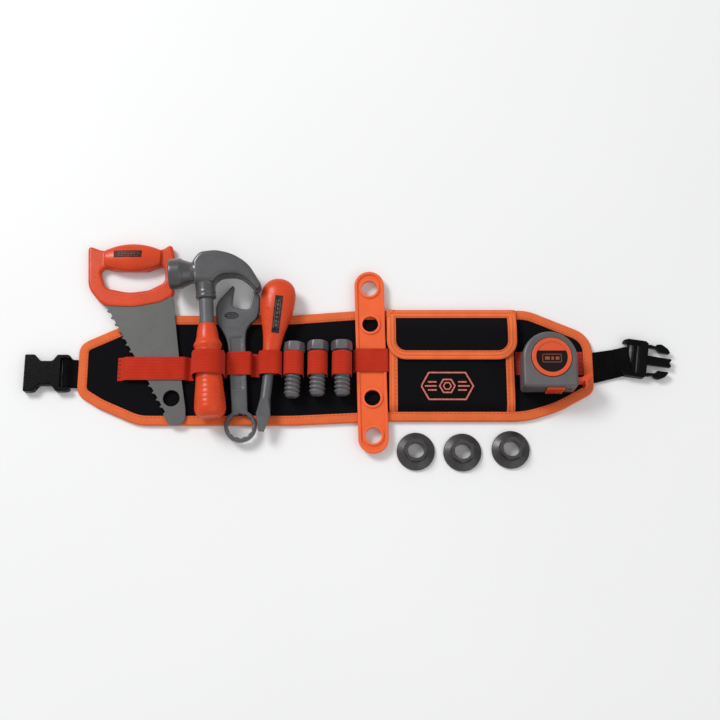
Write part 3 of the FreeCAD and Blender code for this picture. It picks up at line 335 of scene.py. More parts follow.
def remeshed(name, node, voxel, smoothing=0):
    """A CAD node's own solid rebuilt with even faces, so that it can be shaped."""
    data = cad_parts[node].data.copy()
    welded = bmesh.new()
    welded.from_mesh(data)
    bmesh.ops.remove_doubles(welded, verts=welded.verts, dist=0.002 * MM)
    welded.to_mesh(data)
    welded.free()
    data.materials.clear()
    piece = bpy.data.objects.new(name, data)
    bpy.context.scene.collection.objects.link(piece)
    remesh = piece.modifiers.new("remesh", "REMESH")
    remesh.mode = "VOXEL"
    remesh.voxel_size = voxel
    if smoothing:
        smooth = piece.modifiers.new("smooth", "SMOOTH")
        smooth.iterations = smoothing
        smooth.factor = 0.5
    even = bpy.data.meshes.new_from_object(piece.evaluated_get(bpy.context.evaluated_depsgraph_get()))
    bpy.data.objects.remove(piece)
    even.materials.clear()
    even.shade_smooth()
    even.name = name
    piece = bpy.data.objects.new(name, even)
    bpy.context.scene.collection.objects.link(piece)
    return piece


def coordinates(data):
    flat = np.zeros(len(data.vertices) * 3, np.float32)
    data.vertices.foreach_get("co", flat)
    return flat.reshape(-1, 3).astype(float)


def set_coordinates(data, points):
    data.vertices.foreach_set("co", np.array(points, np.float32).ravel())
    data.update()


def dressed(piece, body, slot, material, *nodes):
    """Give a new piece its material and body, and hide the CAD nodes it stands for; slot is not used."""
    piece.data.materials.clear()
    piece.data.materials.append(material)
    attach(piece, body)
    if nodes:
        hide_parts(*nodes)
    return piece


def painted(material, *nodes):
    """Give CAD nodes that stay as they are a better material."""
    for node in nodes:
        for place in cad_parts[node].material_slots:
            place.material = material


def axis_of(node, towards):
    """(a point on it, its direction) for the long axis of a turned CAD node."""
    points = coordinates(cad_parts[node].data)
    middle = (points.min(0) + points.max(0)) / 2
    direction = np.linalg.svd(points - points.mean(0), full_matrices=False)[2][0]
    direction = Vector(direction).normalized()
    if direction.dot(towards) < 0:
        direction = -direction
    return Vector(middle), direction


# ---- materials ----


class Shader:
    """A material's node tree, built up from sockets."""

    def __init__(self, name):
        self.material = bpy.data.materials.new(name)
        self.material.use_nodes = True
        self.tree = self.material.node_tree
        self.surface = self.tree.nodes["Principled BSDF"]
        self.coordinates = self.node("ShaderNodeTexCoord")

    def node(self, kind, inputs=None, **settings):
        made = self.tree.nodes.new(kind)
        for key, value in settings.items():
            setattr(made, key, value)
        for key, value in (inputs or {}).items():
            self.put(made.inputs[key], value)
        return made

    def put(self, socket, value):
        if isinstance(value, bpy.types.NodeSocket):
            self.tree.links.new(value, socket)
        else:
            socket.default_value = value

    def calc(self, operation, *values):
        made = self.node("ShaderNodeMath", operation=operation)
        for socket, value in zip(made.inputs, values):
            self.put(socket, value)
        return made.outputs[0]

    def noise(self, size, detail=3.0, stretch=(1, 1, 1)):
        """Noise whose features are about size metres across, from 0 to 1."""
        place = self.node("ShaderNodeMapping", {"Vector": self.coordinates.outputs["Object"], "Scale": stretch})
        made = self.node("ShaderNodeTexNoise", {"Vector": place.outputs[0], "Scale": 1 / size, "Detail": detail})
        return made.outputs["Fac"]

    def spread(self, value, low, high, to_low=0.0, to_high=1.0):
        made = self.node("ShaderNodeMapRange", {"Value": value, "From Min": low, "From Max": high})
        self.put(made.inputs["To Min"], to_low)
        self.put(made.inputs["To Max"], to_high)
        return made.outputs[0]

    def blend(self, share, first, second, mode="MIX"):
        made = self.node("ShaderNodeMix", data_type="RGBA", blend_type=mode)
        self.put(made.inputs["Factor"], share)
        self.put(made.inputs["A"], first)
        self.put(made.inputs["B"], second)
        return made.outputs["Result"]

    def wave(self, coordinate, pitch):
        """From -1 to 1, once in every pitch metres."""
        return self.calc("SINE", self.calc("MULTIPLY", coordinate, 2 * math.pi / pitch))

    def bump(self, height, depth, under=None):
        """Height from 0 to 1 as relief that deep, in metres."""
        made = self.node("ShaderNodeBump", {"Height": height, "Distance": depth, "Strength": 1.0})
        if under:
            self.put(made.inputs["Normal"], under)
        return made.outputs[0]

    def done(self, **inputs):
        for key, value in inputs.items():
            self.put(self.surface.inputs[key.replace("_", " ")], value)
        return self.material


def plastic(name, colour, roughness=0.36, metal=0.0, mottle=0.10, edge_highlight=0.18, coat=0.1, shine=0.35, scuff=0.18):
    """Moulded plastic: faint mottling, scuffed gloss, a fine grain, paler edges that are a painted highlight, and
    darker hollows that are painted shade.
    """
    shader = Shader(name)
    cloud = shader.noise(18 * MM, 4)
    speckle = shader.noise(0.7 * MM, 2)
    scuffs = shader.noise(5 * MM, 5, (1, 3, 1))
    darker = tuple(c * (1 - mottle * 1.6) for c in colour[:3]) + (1,)
    paler = tuple(min(1, c * (1 + mottle)) for c in colour[:3]) + (1,)
    tone = shader.blend(shader.spread(cloud, 0.35, 0.65), darker, paler)
    tone = shader.blend(shader.spread(speckle, 0.3, 0.7, 0.0, 0.18), tone, darker)
    geometry = shader.node("ShaderNodeNewGeometry")
    rounded = shader.node("ShaderNodeBevel", {"Radius": EDGE_ROUNDING}, samples=6).outputs[0]
    turned = shader.node("ShaderNodeVectorMath", {0: rounded, 1: geometry.outputs["Normal"]}, operation="DOT_PRODUCT")
    edges = geometry.outputs["Pointiness"]
    # Paler along convex edges and where the bevel rounds them: a painted highlight.
    highlight_tone = tuple(min(1, c * 1.25 + 0.05) for c in colour[:3]) + (1,)
    tone = shader.blend(shader.spread(edges, 0.52, 0.60, 0.0, edge_highlight), tone, highlight_tone)
    tone = shader.blend(shader.spread(turned.outputs["Value"], 0.985, 0.85, 0.0, edge_highlight), tone, highlight_tone)
    # Darker where the surface is concave: painted shade in the hollows.
    tone = shader.blend(shader.spread(edges, 0.48, 0.42, 0.0, 0.35), tone, darker)
    gloss = shader.spread(scuffs, 0.35, 0.68, roughness - scuff / 3, roughness + scuff * 2 / 3)
    relief = shader.bump(shader.noise(0.35 * MM, 2), 0.02 * MM, rounded)
    relief = shader.bump(shader.noise(6 * MM, 2), 0.06 * MM, relief)
    return shader.done(
        Base_Color=tone,
        Roughness=gloss,
        Metallic=metal,
        Normal=relief,
        Specular_IOR_Level=shine,
        Coat_Weight=coat,
        Coat_Roughness=0.2,
    )


def woven(name, colour, pitch=1.1 * MM, sheen=0.03):
    """Plain-woven cloth: threads over and under each other, with slubs and a soft sheen."""
    shader = Shader(name)
    split = shader.node("ShaderNodeSeparateXYZ", {"Vector": shader.coordinates.outputs["Object"]})
    warp = shader.wave(split.outputs["X"], pitch)
    weft = shader.wave(split.outputs["Y"], pitch)
    cross = shader.calc("MULTIPLY_ADD", shader.calc("MULTIPLY", warp, weft), 0.5, 0.5)
    fibres = shader.noise(0.25 * MM, 3)
    slubs = shader.noise(9 * MM, 4, (1, 5, 1))
    light = tuple(min(1, c * 2.1 + 0.004) for c in colour[:3]) + (1,)
    dark = tuple(c * 0.45 for c in colour[:3]) + (1,)
    tone = shader.blend(shader.calc("MULTIPLY", cross, 0.7), dark, light)
    tone = shader.blend(shader.spread(slubs, 0.4, 0.7, 0.0, 0.35), tone, light)
    tone = shader.blend(shader.spread(fibres, 0.4, 0.7, 0.0, 0.3), tone, dark)
    relief = shader.bump(cross, 0.16 * MM)
    relief = shader.bump(fibres, 0.05 * MM, relief)
    relief = shader.bump(shader.noise(22 * MM, 3), 0.5 * MM, relief)
    return shader.done(
        Base_Color=tone,
        Roughness=shader.spread(slubs, 0.3, 0.7, 0.78, 0.95),
        Normal=relief,
        Sheen_Weight=sheen,
        Specular_IOR_Level=0.05,
    )


def ribbed(name, colour, rib=1.5 * MM, sheen=0.05, shine=0.12):
    """A woven strap or tape whose cords run along it, by its UV map in metres."""
    shader = Shader(name)
    split = shader.node("ShaderNodeSeparateXYZ", {"Vector": shader.coordinates.outputs["UV"]})
    cords = shader.calc("MULTIPLY_ADD", shader.wave(split.outputs["Y"], rib), 0.5, 0.5)
    picks = shader.calc("MULTIPLY_ADD", shader.wave(split.outputs["X"], 0.7 * MM), 0.5, 0.5)
    fade = shader.noise(14 * MM, 4)
    fibres = shader.noise(0.3 * MM, 3)
    dark = tuple(c * 0.62 for c in colour[:3]) + (1,)
    light = tuple(min(1, c * 1.22 + 0.01) for c in colour[:3]) + (1,)
    tone = shader.blend(shader.spread(cords, 0.0, 0.7), dark, colour)
    tone = shader.blend(shader.spread(picks, 0.3, 1.0, 0.0, 0.3), tone, light)
    tone = shader.blend(shader.spread(fade, 0.35, 0.7, 0.0, 0.35), tone, dark)
    tone = shader.blend(shader.spread(fibres, 0.35, 0.7, 0.0, 0.25), tone, dark)
    relief = shader.bump(cords, 0.14 * MM)
    relief = shader.bump(picks, 0.07 * MM, relief)
    relief = shader.bump(fibres, 0.03 * MM, relief)
    return shader.done(
        Base_Color=tone,
        Roughness=shader.spread(fade, 0.3, 0.7, 0.65, 0.88),
        Normal=relief,
        Sheen_Weight=sheen,
        Specular_IOR_Level=shine,
    )


def thread_material(name, colour):
    """Twisted sewing thread."""
    shader = Shader(name)
    ply = shader.noise(0.3 * MM, 2, (1, 3, 1))
    dark = tuple(c * 0.6 for c in colour[:3]) + (1,)
    tone = shader.blend(shader.spread(ply, 0.35, 0.65), dark, colour)
    return shader.done(Base_Color=tone, Roughness=0.6, Normal=shader.bump(ply, 0.05 * MM))


def printed(name, colour):
    """Ink on cloth, broken up a little by the weave under it."""
    shader = Shader(name)
    wearing = shader.noise(1.1 * MM, 3)
    dark = tuple(c * 0.55 for c in colour[:3]) + (1,)
    tone = shader.blend(shader.spread(wearing, 0.35, 0.62), dark, colour)
    return shader.done(Base_Color=tone, Roughness=0.7, Normal=shader.bump(wearing, 0.06 * MM))


def metal(name, colour, roughness=0.3):
    """Plated steel with fine turning marks."""
    shader = Shader(name)
    marks = shader.noise(0.5 * MM, 3, (1, 1, 8))
    gloss = shader.spread(marks, 0.3, 0.7, roughness - 0.08, roughness + 0.12)
    return shader.done(Base_Color=colour, Metallic=1.0, Roughness=gloss, Normal=shader.bump(marks, 0.02 * MM))


CLOTH = woven("black_cloth", BLACK_CLOTH)
FLAP_CLOTH = woven("flap_cloth", BLACK_CLOTH, 0.9 * MM)
BINDING_TAPE = ribbed("binding_tape", BINDING, 1.1 * MM)
ELASTIC_WEB = ribbed("elastic_web", ELASTIC_RED, ELASTIC_WIDTH / RIBS)
STRAP_WEB = ribbed("strap_web", STRAP_RED, ELASTIC_WIDTH / RIBS)
BLACK_WEB = ribbed("black_web", WEBBING_BLACK, 1.9 * MM, sheen=0.01, shine=0.04)
BUCKLE = plastic("buckle_black", BUCKLE_BLACK, 0.3, edge_highlight=0.02, coat=0.0, shine=0.08)
ORANGE = plastic("handle_orange", HANDLE_ORANGE, 0.3, mottle=0.05, coat=0.04, shine=0.25)
SPRUNG_ORANGE = plastic("strip_orange", STRIP_ORANGE, 0.36, mottle=0.04)
DIAL = plastic("dial_orange", DIAL_ORANGE, 0.3, mottle=0.04)
BLADE = plastic("blade_grey", BLADE_GREY, 0.46, 0.15, mottle=0.05)
HEAD = plastic("head_grey", HEAD_GREY, 0.3, 0.3, mottle=0.06, coat=0.3, shine=0.6, scuff=0.06)
WRENCH = plastic("wrench_grey", WRENCH_GREY, 0.36, 0.25, coat=0.15)
BOLTS = plastic("bolt_grey", BOLT_GREY, 0.38, 0.2)
NUTS = plastic("nut_grey", NUT_GREY, 0.32, 0.4, mottle=0.25, coat=0.2, shine=0.5)
CASE = plastic("case_grey", CASE_GREY, 0.4, 0.2)
LABEL = plastic("sticker_dark", STICKER, 0.5, edge_highlight=0.02, coat=0.0, shine=0.1)
SCREW = metal("plated_screw", STEEL)
FILM = plastic("tape_film", TAPE_YELLOW, 0.4)


# ---- belt ----


def plan_turn(loop):
    """The loop, running anticlockwise seen from above."""
    area = sum(a.x * b.y - b.x * a.y for a, b in zip(loop, loop[1:] + loop[:1]))
    return loop if area > 0 else loop[::-1]


def outline_of(node, height, step):
    """A node's outer outline at one height, anticlockwise, as even points."""
    loop = section(node, (0, 0, height), (0, 0, 1))[0]
    return resampled(plan_turn(loop), step, closed=True)


def panel():
    """The padded cloth: a gentle crown inside the binding, and shallow puckers where it is sewn."""
    piece = remeshed("panel_pad", "belt_panel", 2.2 * MM)
    low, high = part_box("belt_panel")
    rim = outline_of("belt_panel", (low.z + high.z) / 2, 3 * MM)
    tree = kdtree.KDTree(len(rim))
    for i, point in enumerate(rim):
        tree.insert((point.x, point.y, 0), i)
    tree.balance()
    points = coordinates(piece.data)
    middle = (low.z + high.z) / 2
    for i, (x, y, z) in enumerate(points):
        inset = tree.find((x, y, 0))[2]
        crown = min(1.0, max(0.0, inset - TAPE_WIDTH) / (14 * MM))
        ripple = noise.noise(Vector((x * 55, y * 16, 1.7))) * 0.30 * MM
        pucker = noise.noise(Vector((x * 160, y * 160, 5.0))) * 0.16 * MM
        side = 1 if z > middle else -0.4
        points[i][2] = z + side * (0.30 * MM + ripple + pucker) * crown
    set_coordinates(piece.data, points)
    dressed(piece, "belt", "panel_fabric", CLOTH, "belt_panel")


def tape_section(width, low, high, top_wall, crown):
    """Folded binding tape over an edge: (inward, height) with the edge at 0."""
    round_edge = 1.3 * MM
    outer = [(width, low), (round_edge * 1.6, low - 0.0 * MM)]
    for i in range(7):
        angle = math.radians(-90 - 30 * i)
        middle = (low + high) / 2
        outer.append((round_edge * (1 + math.cos(angle)), middle + (high - low) / 2 * math.sin(-angle) * -1))
    outer.append((round_edge * 1.6, high))
    steps = 6
    for i in range(1, steps):
        share = i / steps
        outer.append((width * (0.16 + 0.80 * share), high + crown * math.sin(math.pi * share)))
    outer += [(width - 0.3 * MM, high - 0.1 * MM), (width, high - top_wall * 0.5), (width, high - top_wall)]
    inner = [(TAPE_WALL, high - top_wall), (TAPE_WALL, low + TAPE_WALL), (width, low + TAPE_WALL)]
    return outer + inner


def binding():
    """Binding tape folded over the panel's edge, with its seam of stitches."""
    low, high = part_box("panel_binding")
    rim = outline_of("panel_binding", (low.z + high.z) / 2, 2.2 * MM)
    stations = level_stations([Vector((p.x, p.y, 0)) for p in rim], closed=True)
    profile = tape_section(TAPE_WIDTH, low.z, high.z - 0.1 * MM, TAPE_WALL, 0.35 * MM)
    piece = sweep("panel_tape", stations, profile, closed=True)
    points = coordinates(piece.data)
    for i, (x, y, z) in enumerate(points):
        if z > (low.z + high.z) / 2:
            points[i][2] = z + noise.noise(Vector((x * 120, y * 120, 3.0))) * 0.22 * MM
    set_coordinates(piece.data, points)
    dressed(piece, "belt", "binding_fabric", BINDING_TAPE, "panel_binding")
    around = length_of([place for place, _, _ in stations])
    seam = [place + across * (TAPE_WIDTH - 1.7 * MM) + UP * (high.z + 0.02 * MM) for place, across, _ in stations]
    seam.append(seam[0])
    stitches("panel_seam", [(seam, [UP] * len(seam))], "belt", "binding_fabric", THREAD_ORANGE)


def span_corners(node, foot, ramp):
    """The line of a band that lies flat at both ends and bridges something flat between them."""
    low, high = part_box(node)
    floor = low.z + ELASTIC / 2
    top = high.z - ELASTIC / 2
    return [
        ((low.x, 0, floor), 0),
        ((low.x + foot, 0, floor), 3 * MM),
        ((low.x + foot + ramp, 0, top), 3 * MM),
        ((high.x - foot - ramp, 0, top), 3 * MM),
        ((high.x - foot, 0, floor), 1.5 * MM),
        ((high.x, 0, floor), 0),
    ]


def arch_corners(node, radius):
    """The line of a band that stands up over something round or square."""
    low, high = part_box(node)
    floor = low.z + ELASTIC / 2
    top = high.z - ELASTIC / 2
    left = low.x + ELASTIC / 2
    right = high.x - ELASTIC / 2
    heel = 0.5 * MM
    return [
        ((left, 0, floor), heel),
        ((left, 0, top), radius + ELASTIC / 2),
        ((right, 0, top), radius + ELASTIC / 2),
        ((right, 0, floor), heel),
    ]


def middle_y(node):
    low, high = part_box(node)
    return (low.y + high.y) / 2


def band(name, corners, middles, material, slot, *nodes):
    """An elastic band along a line in XZ. middles is [(x, y), ...]: where its middle runs."""
    line = resampled(filleted(corners), 1.0 * MM)
    xs = [x for x, _ in middles]
    ys = [y for _, y in middles]
    points = [Vector((p.x, float(np.interp(p.x, xs, ys)), p.z)) for p in line]
    stations = upright_stations([Vector((p.x, 0, p.z)) for p in points], ACROSS)
    stations = [(point, across, up) for point, (_, across, up) in zip(points, stations)]
    profile = strap_profile(ELASTIC_WIDTH, ELASTIC, RIBS, 0.14 * MM)
    piece = dressed(sweep(name, stations, profile), "belt", slot, material, *nodes)
    length_of(points)
    return piece


def elastic_loops():
    """One long band sewn down between the big tools, then a loop for each bolt and one for the strip."""
    loops = [
        ("hammer_elastic", 13.6 * MM),
        ("wrench_elastic", 2.0 * MM),
        ("screwdriver_elastic", 8.0 * MM),
    ]
    corners = span_corners("saw_elastic", 4 * MM, 5 * MM)[:-1]
    low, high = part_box("saw_elastic")
    middles = [(low.x, middle_y("saw_elastic")), (high.x, middle_y("saw_elastic"))]
    for node, radius in loops:
        low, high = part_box(node)
        corners += arch_corners(node, radius)
        middles += [(low.x + 3 * MM, middle_y(node)), (high.x - 3 * MM, middle_y(node))]
    nodes = ["saw_elastic"] + [node for node, _ in loops]
    band("elastic_band", corners, middles, ELASTIC_WEB, "elastic_web", *nodes)
    for number in (1, 2, 3):
        node = f"bolt_elastic_{number}"
        low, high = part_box(node)
        middles = [(low.x, middle_y(node)), (high.x, middle_y(node))]
        band(f"bolt_band_{number}", arch_corners(node, 7.5 * MM), middles, ELASTIC_WEB, "elastic_web", node)
    node = "strip_elastic"
    corners = arch_corners(node, 1.0 * MM)
    (left, _, floor), _ = corners[0]
    (right, _, _), _ = corners[-1]
    corners = [((left - 2 * MM, 0, floor), 0)] + corners + [((right + 0.4 * MM, 0, floor), 0)]
    band("strip_band", corners, [(left, middle_y(node)), (right, middle_y(node))], ELASTIC_WEB, "elastic_web", node)
    node = "tape_elastic"
    low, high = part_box(node)
    corners = span_corners(node, 4 * MM, 5 * MM)
    band("tape_band", corners, [(low.x, middle_y(node)), (high.x, middle_y(node))], STRAP_WEB, "strap_elastic", node)


def sewn_ends():
    """Stitches across the bands where they are sewn down."""
    rows = []
    for node, shares in (("saw_elastic", (0.02,)), ("tape_elastic", (0.03, 0.97))):
        low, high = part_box(node)
        for share in shares:
            for shift in (-0.8 * MM, 0.8 * MM):
                x = low.x + (high.x - low.x) * share + shift
                z = low.z + ELASTIC + 0.05 * MM
                row = [Vector((x, low.y + 1 * MM, z)), Vector((x, high.y - 1 * MM, z))]
                rows.append((row, [UP, UP]))
    stitches("band_ends", rows, "belt", "elastic_web", THREAD_DARK)


def pocket_height(x, y):
    """Top of the pocket's cloth: it rises from its sewn edges and bellies a little."""
    low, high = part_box("pocket_front")
    rise = high.z - low.z
    side = min(x - low.x, high.x - x) / (5 * MM)
    foot = (y - low.y) / (9 * MM)
    lift = math.sin(min(1, max(0, side)) * math.pi / 2) * math.sin(min(1, max(0, foot)) * math.pi / 2)
    belly = math.sin(math.pi * min(1, max(0, (x - low.x) / (high.x - low.x)))) ** 0.6
    crease = noise.noise(Vector((x * 38, y * 24, 8.0))) * 0.45 * MM
    return low.z + rise * lift + (0.35 * belly * MM + crease) * lift


def grid_sheet(name, columns, rows, place, thick):
    """A sheet with thickness: place(i share, j share) gives its top, and the underside lies below."""
    vertices = [place(i / columns, j / rows) for j in range(rows + 1) for i in range(columns + 1)]
    count = len(vertices)
    vertices += [v - UP * thick for v in vertices]
    wide = columns + 1
    faces = []
    for j in range(rows):
        for i in range(columns):
            a = j * wide + i
            faces.append((a, a + 1, a + wide + 1, a + wide))
            faces.append((count + a, count + a + wide, count + a + wide + 1, count + a + 1))
    rim = list(range(columns)) + [j * wide + columns for j in range(rows)]
    rim += [rows * wide + i for i in range(columns, 0, -1)] + [j * wide for j in range(rows, 0, -1)]
    for a, b in zip(rim, rim[1:] + rim[:1]):
        faces.append((a, count + a, count + b, b))
    return mesh_piece(name, vertices, faces)


def pocket():
    """The pocket's cloth front, its two side tapes and their seams."""
    low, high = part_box("pocket_front")

    def place(i, j):
        x = low.x + (high.x - low.x) * i
        y = low.y + (high.y - low.y) * j
        return Vector((x, y, pocket_height(x, y)))

    front = grid_sheet("pocket_cloth", 96, 60, place, 0.9 * MM)
    dressed(front, "belt", "panel_fabric", CLOTH, "pocket_front")
    tape_low, tape_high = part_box("pocket_binding")
    width = 8.5 * MM
    seams = []
    for side, edge in ((1, tape_low.x), (-1, tape_high.x)):
        steps = 60
        path = []
        for i in range(steps + 1):
            y = low.y + (high.y - low.y) * i / steps
            path.append(Vector((edge, y, pocket_height(edge + side * width * 0.7, y))))
        stations = [(p, Vector((side, 0, 0)), UP) for p in path]
        drop = [-(p.z - low.z) for p in path]
        name = "pocket_tape_left" if side > 0 else "pocket_tape_right"
        tape = side_tape(name, stations, width, drop)
        dressed(tape, "belt", "binding_fabric", BINDING_TAPE)
        if side > 0:
            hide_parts("pocket_binding")
        seam = [p + Vector((side * (width - 1.5 * MM), 0, 0.85 * MM)) for p in path]
        seams.append((seam, [UP] * len(seam)))
    stitches("pocket_seams", seams, "belt", "binding_fabric", THREAD_ORANGE)


def side_tape(name, stations, width, drops):
    """A tape that lies on the cloth and turns down over its edge to the panel."""
    vertices = []
    uvs = []
    faces = []
    count = 9
    for (place, across, up), drop in zip(stations, drops):
        section_points = [(0.1 * MM, drop + 0.05 * MM), (0.0, drop * 0.5), (0.35 * MM, 0.2 * MM), (1.4 * MM, 0.8 * MM)]
        section_points += [(width * 0.5, 0.95 * MM), (width - 0.4 * MM, 0.8 * MM), (width, 0.4 * MM)]
        section_points += [(width, 0.05 * MM), (1.2 * MM, drop + 0.05 * MM)]
        vertices += [place + across * a + up * u for a, u in section_points]
    for i in range(len(stations) - 1):
        for j in range(count):
            beside = (j + 1) % count
            faces.append((i * count + j, (i + 1) * count + j, (i + 1) * count + beside, i * count + beside))
            for a, b in ((i, j), (i + 1, j), (i + 1, j + 1), (i, j + 1)):
                uvs.append((a * 1.3 * MM, b * width / count))
    faces.append(tuple(range(count)))
    faces.append(tuple(range(len(vertices) - count, len(vertices))))
    uvs += [(0, 0)] * (2 * count)
    return mesh_piece(name, vertices, faces, uvs)


def flap_corner(inset, y):
    """How far the flap's side stands in from its widest at a height, by its rounded corner."""
    low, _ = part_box("flap_binding")
    radius = 20 * MM
    below = low.y + radius - y
    if below <= 0:
        return inset
    below = min(below, radius - inset)
    return radius - math.sqrt(max(0.0, (radius - inset) ** 2 - below * below))


def flap_height(x, y):
    """Top of the flap's cloth: a rounded rise from its hinge, then level over the pocket."""
    low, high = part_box("pocket_flap")
    hinge = low.z + 1.8 * MM
    share = min(1, max(0, (high.y - y) / (24 * MM)))
    rise = (1 - math.cos(math.pi * share)) / 2
    wave = noise.noise(Vector((x * 26, y * 40, 4.0))) * 0.35 * MM
    return hinge + (high.z - hinge) * rise + wave * share


def flap_ease(y):
    """Share of its full thickness that the border has: near the hinge it is flatter, to fold right back."""
    _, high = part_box("flap_binding")
    return 0.25 + 0.75 * min(1, max(0, (high.y - y - 1 * MM) / (9 * MM)))


def flap():
    """The pocket's flap: cloth inside a border of tape that is sewn all round."""
    low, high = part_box("flap_binding")
    inset = 0.8 * MM

    def place(i, j):
        y = low.y + inset + (high.y - low.y - 2 * inset) * j
        margin = flap_corner(inset, y)
        x = low.x + margin + (high.x - low.x - 2 * margin) * i
        return Vector((x, y, flap_height(x, y)))

    cloth = grid_sheet("flap_cloth_piece", 84, 44, place, 1.6 * MM)
    dressed(cloth, "flap", "flap_fabric", FLAP_CLOTH, "pocket_flap")
    radius = 20 * MM
    top = high.y
    line = filleted(
        [
            ((low.x, top, 0), 0),
            ((low.x, low.y, 0), radius),
            ((high.x, low.y, 0), radius),
            ((high.x, top, 0), 2 * MM),
            ((low.x, top, 0), 0),
        ],
        1.5 * MM,
    )
    line = resampled(line, 1.6 * MM)
    vertices = []
    faces = []
    uvs = []
    profile = [(0.25, -1.75), (0.0, -0.8), (0.25, 0.25), (1.2, 0.7), (4.9, 0.85), (8.6, 0.7), (9.2, 0.35)]
    profile += [(9.2, 0.0), (1.0, 0.0), (0.9, -1.6), (9.0, -1.6), (9.0, -2.1), (1.2, -2.1)]
    count = len(profile)
    stations = level_stations(line, closed=True)
    for place_at, across, _ in stations:
        for a, u in profile:
            point = place_at + across * (a * MM)
            inside = place_at + across * (max(a, 1.4) * MM)
            height = flap_height(inside.x, min(inside.y, top - 1 * MM))
            rise = u * flap_ease(inside.y) if u > 0 else u
            vertices.append(Vector((point.x, point.y, height + rise * MM)))
    for i in range(len(stations)):
        following = (i + 1) % len(stations)
        for j in range(count):
            beside = (j + 1) % count
            faces.append((i * count + j, following * count + j, following * count + beside, i * count + beside))
            for a, b in ((i, j), (i + 1, j), (i + 1, j + 1), (i, j + 1)):
                uvs.append((a * 1.6 * MM, b * 1.1 * MM))
    border = mesh_piece("flap_tape", vertices, faces, uvs)
    dressed(border, "flap", "binding_fabric", BINDING_TAPE, "flap_binding")
    seam = []
    edge = 7.7 * MM
    for place_at, across, _ in stations:
        point = place_at + across * edge
        x = min(max(point.x, low.x + edge), high.x - edge)
        y = min(point.y, top - edge)
        seam.append(Vector((x, y, flap_height(x, y) + 0.75 * flap_ease(y) * MM)))
    seam.append(seam[0])
    stitches("flap_seam", [(seam, [UP] * len(seam))], "flap", "binding_fabric", THREAD_ORANGE)


def badge():
    """A plain printed emblem on the pocket: a long hexagon with a nut between two bars."""
    low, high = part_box("pocket_front")
    middle = Vector((low.x * 0.54 + high.x * 0.46, low.y * 0.67 + high.y * 0.33, 0))
    wide = 27.0 * MM
    tall = 14.6 * MM
    line = 1.5 * MM

    def frame_points(half_wide, half_tall):
        cut = half_tall * 0.55
        corners = [(half_wide, 0), (half_wide - cut, half_tall), (-half_wide + cut, half_tall), (-half_wide, 0)]
        corners += [(-half_wide + cut, -half_tall), (half_wide - cut, -half_tall)]
        return [Vector((x, y, 0)) for x, y in corners]

    def nut_points(radius):
        return [Vector((radius * math.cos(math.pi * i / 3), radius * math.sin(math.pi * i / 3), 0)) for i in range(6)]

    def ring(outer, inner):
        even_outer = resampled(outer, (length_of(outer) + 1e-6) / 90, closed=True)
        even_inner = resampled(inner, (length_of(inner) + 1e-6) / 90, closed=True)
        count = min(len(even_outer), len(even_inner))
        even_outer = [even_outer[round(i * len(even_outer) / count) % len(even_outer)] for i in range(count)]
        even_inner = [even_inner[round(i * len(even_inner) / count) % len(even_inner)] for i in range(count)]
        return even_outer, even_inner

    vertices = []
    faces = []

    def lay(point, lift):
        x = middle.x + point.x
        y = middle.y + point.y
        return Vector((x, y, pocket_height(x, y) + lift))

    shapes = [
        ring(frame_points(wide, tall), frame_points(wide - line * 1.15, tall - line)),
        ring(nut_points(8.6 * MM), nut_points(6.9 * MM)),
        ring(nut_points(4.6 * MM), nut_points(3.2 * MM)),
    ]
    for outer, inner in shapes:
        start = len(vertices)
        count = len(outer)
        for lift in (0.14 * MM, -0.3 * MM):
            vertices += [lay(p, lift) for p in outer]
            vertices += [lay(p, lift) for p in inner]
        for i in range(count):
            k = (i + 1) % count
            rows = [start, start + count, start + 3 * count, start + 2 * count]
            for a, b in zip(rows, rows[1:] + rows[:1]):
                faces.append((a + i, a + k, b + k, b + i))
    for side in (-1, 1):
        for level in (-4.2, 0.0, 4.2):
            start = len(vertices)
            steps = 12
            near = 10.8 * MM
            far = (19.5 if level else 22.5) * MM
            for i in range(steps + 1):
                x = side * (near + (far - near) * i / steps)
                for y, lift in ((-0.75, -0.3), (-0.75, 0.14), (0.75, 0.14), (0.75, -0.3)):
                    vertices.append(lay(Vector((x, (level + y) * MM, 0)), lift * MM))
            for i in range(steps):
                for j in range(4):
                    k = (j + 1) % 4
                    a = start + i * 4
                    faces.append((a + j, a + 4 + j, a + 4 + k, a + k))
            faces.append(tuple(range(start, start + 4)))
            faces.append(tuple(range(start + steps * 4, start + steps * 4 + 4)))
    piece = mesh_piece("pocket_print", vertices, faces)
    dressed(piece, "belt", "binding_fabric", printed("salmon_print", PRINT))


# ---- straps ----


def strap_line(bar, run_z, root, direction):
    """Centre line of a strap: from its root, round the bar at the buckle, and back onto itself."""
    top = run_z + 5.1 * MM
    points = [
        ((root, run_z), 0),
        ((bar + direction * 2.3 * MM, run_z), 2.4 * MM),
        ((bar + direction * 2.3 * MM, top), 2.4 * MM),
        ((bar - direction * 2.3 * MM, top), 1.8 * MM),
        ((bar - direction * 7.5 * MM, run_z + 1.6 * MM), 2.0 * MM),
        ((bar - direction * 12.0 * MM, run_z + WEBBING), 0),
    ]
    return [((x, 0, z), radius) for (x, z), radius in points]


def left_strap():
    low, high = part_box("left_webbing")
    run_z = low.z + WEBBING / 2
    middle = middle_y("left_webbing")
    bar = low.x + 3.0 * MM
    line = resampled(filleted(strap_line(bar, run_z, high.x + 6 * MM, -1)), 1.0 * MM)
    points = [Vector((p.x, middle, p.z)) for p in line]
    profile = strap_profile(WEBBING_WIDTH, WEBBING * 0.94, 14, 0.16 * MM)
    piece = sweep("left_strap_web", upright_stations(points, ACROSS), profile)
    return strap_dressed(piece, "left_webbing", (WEBBING_WIDTH, length_of(points)))


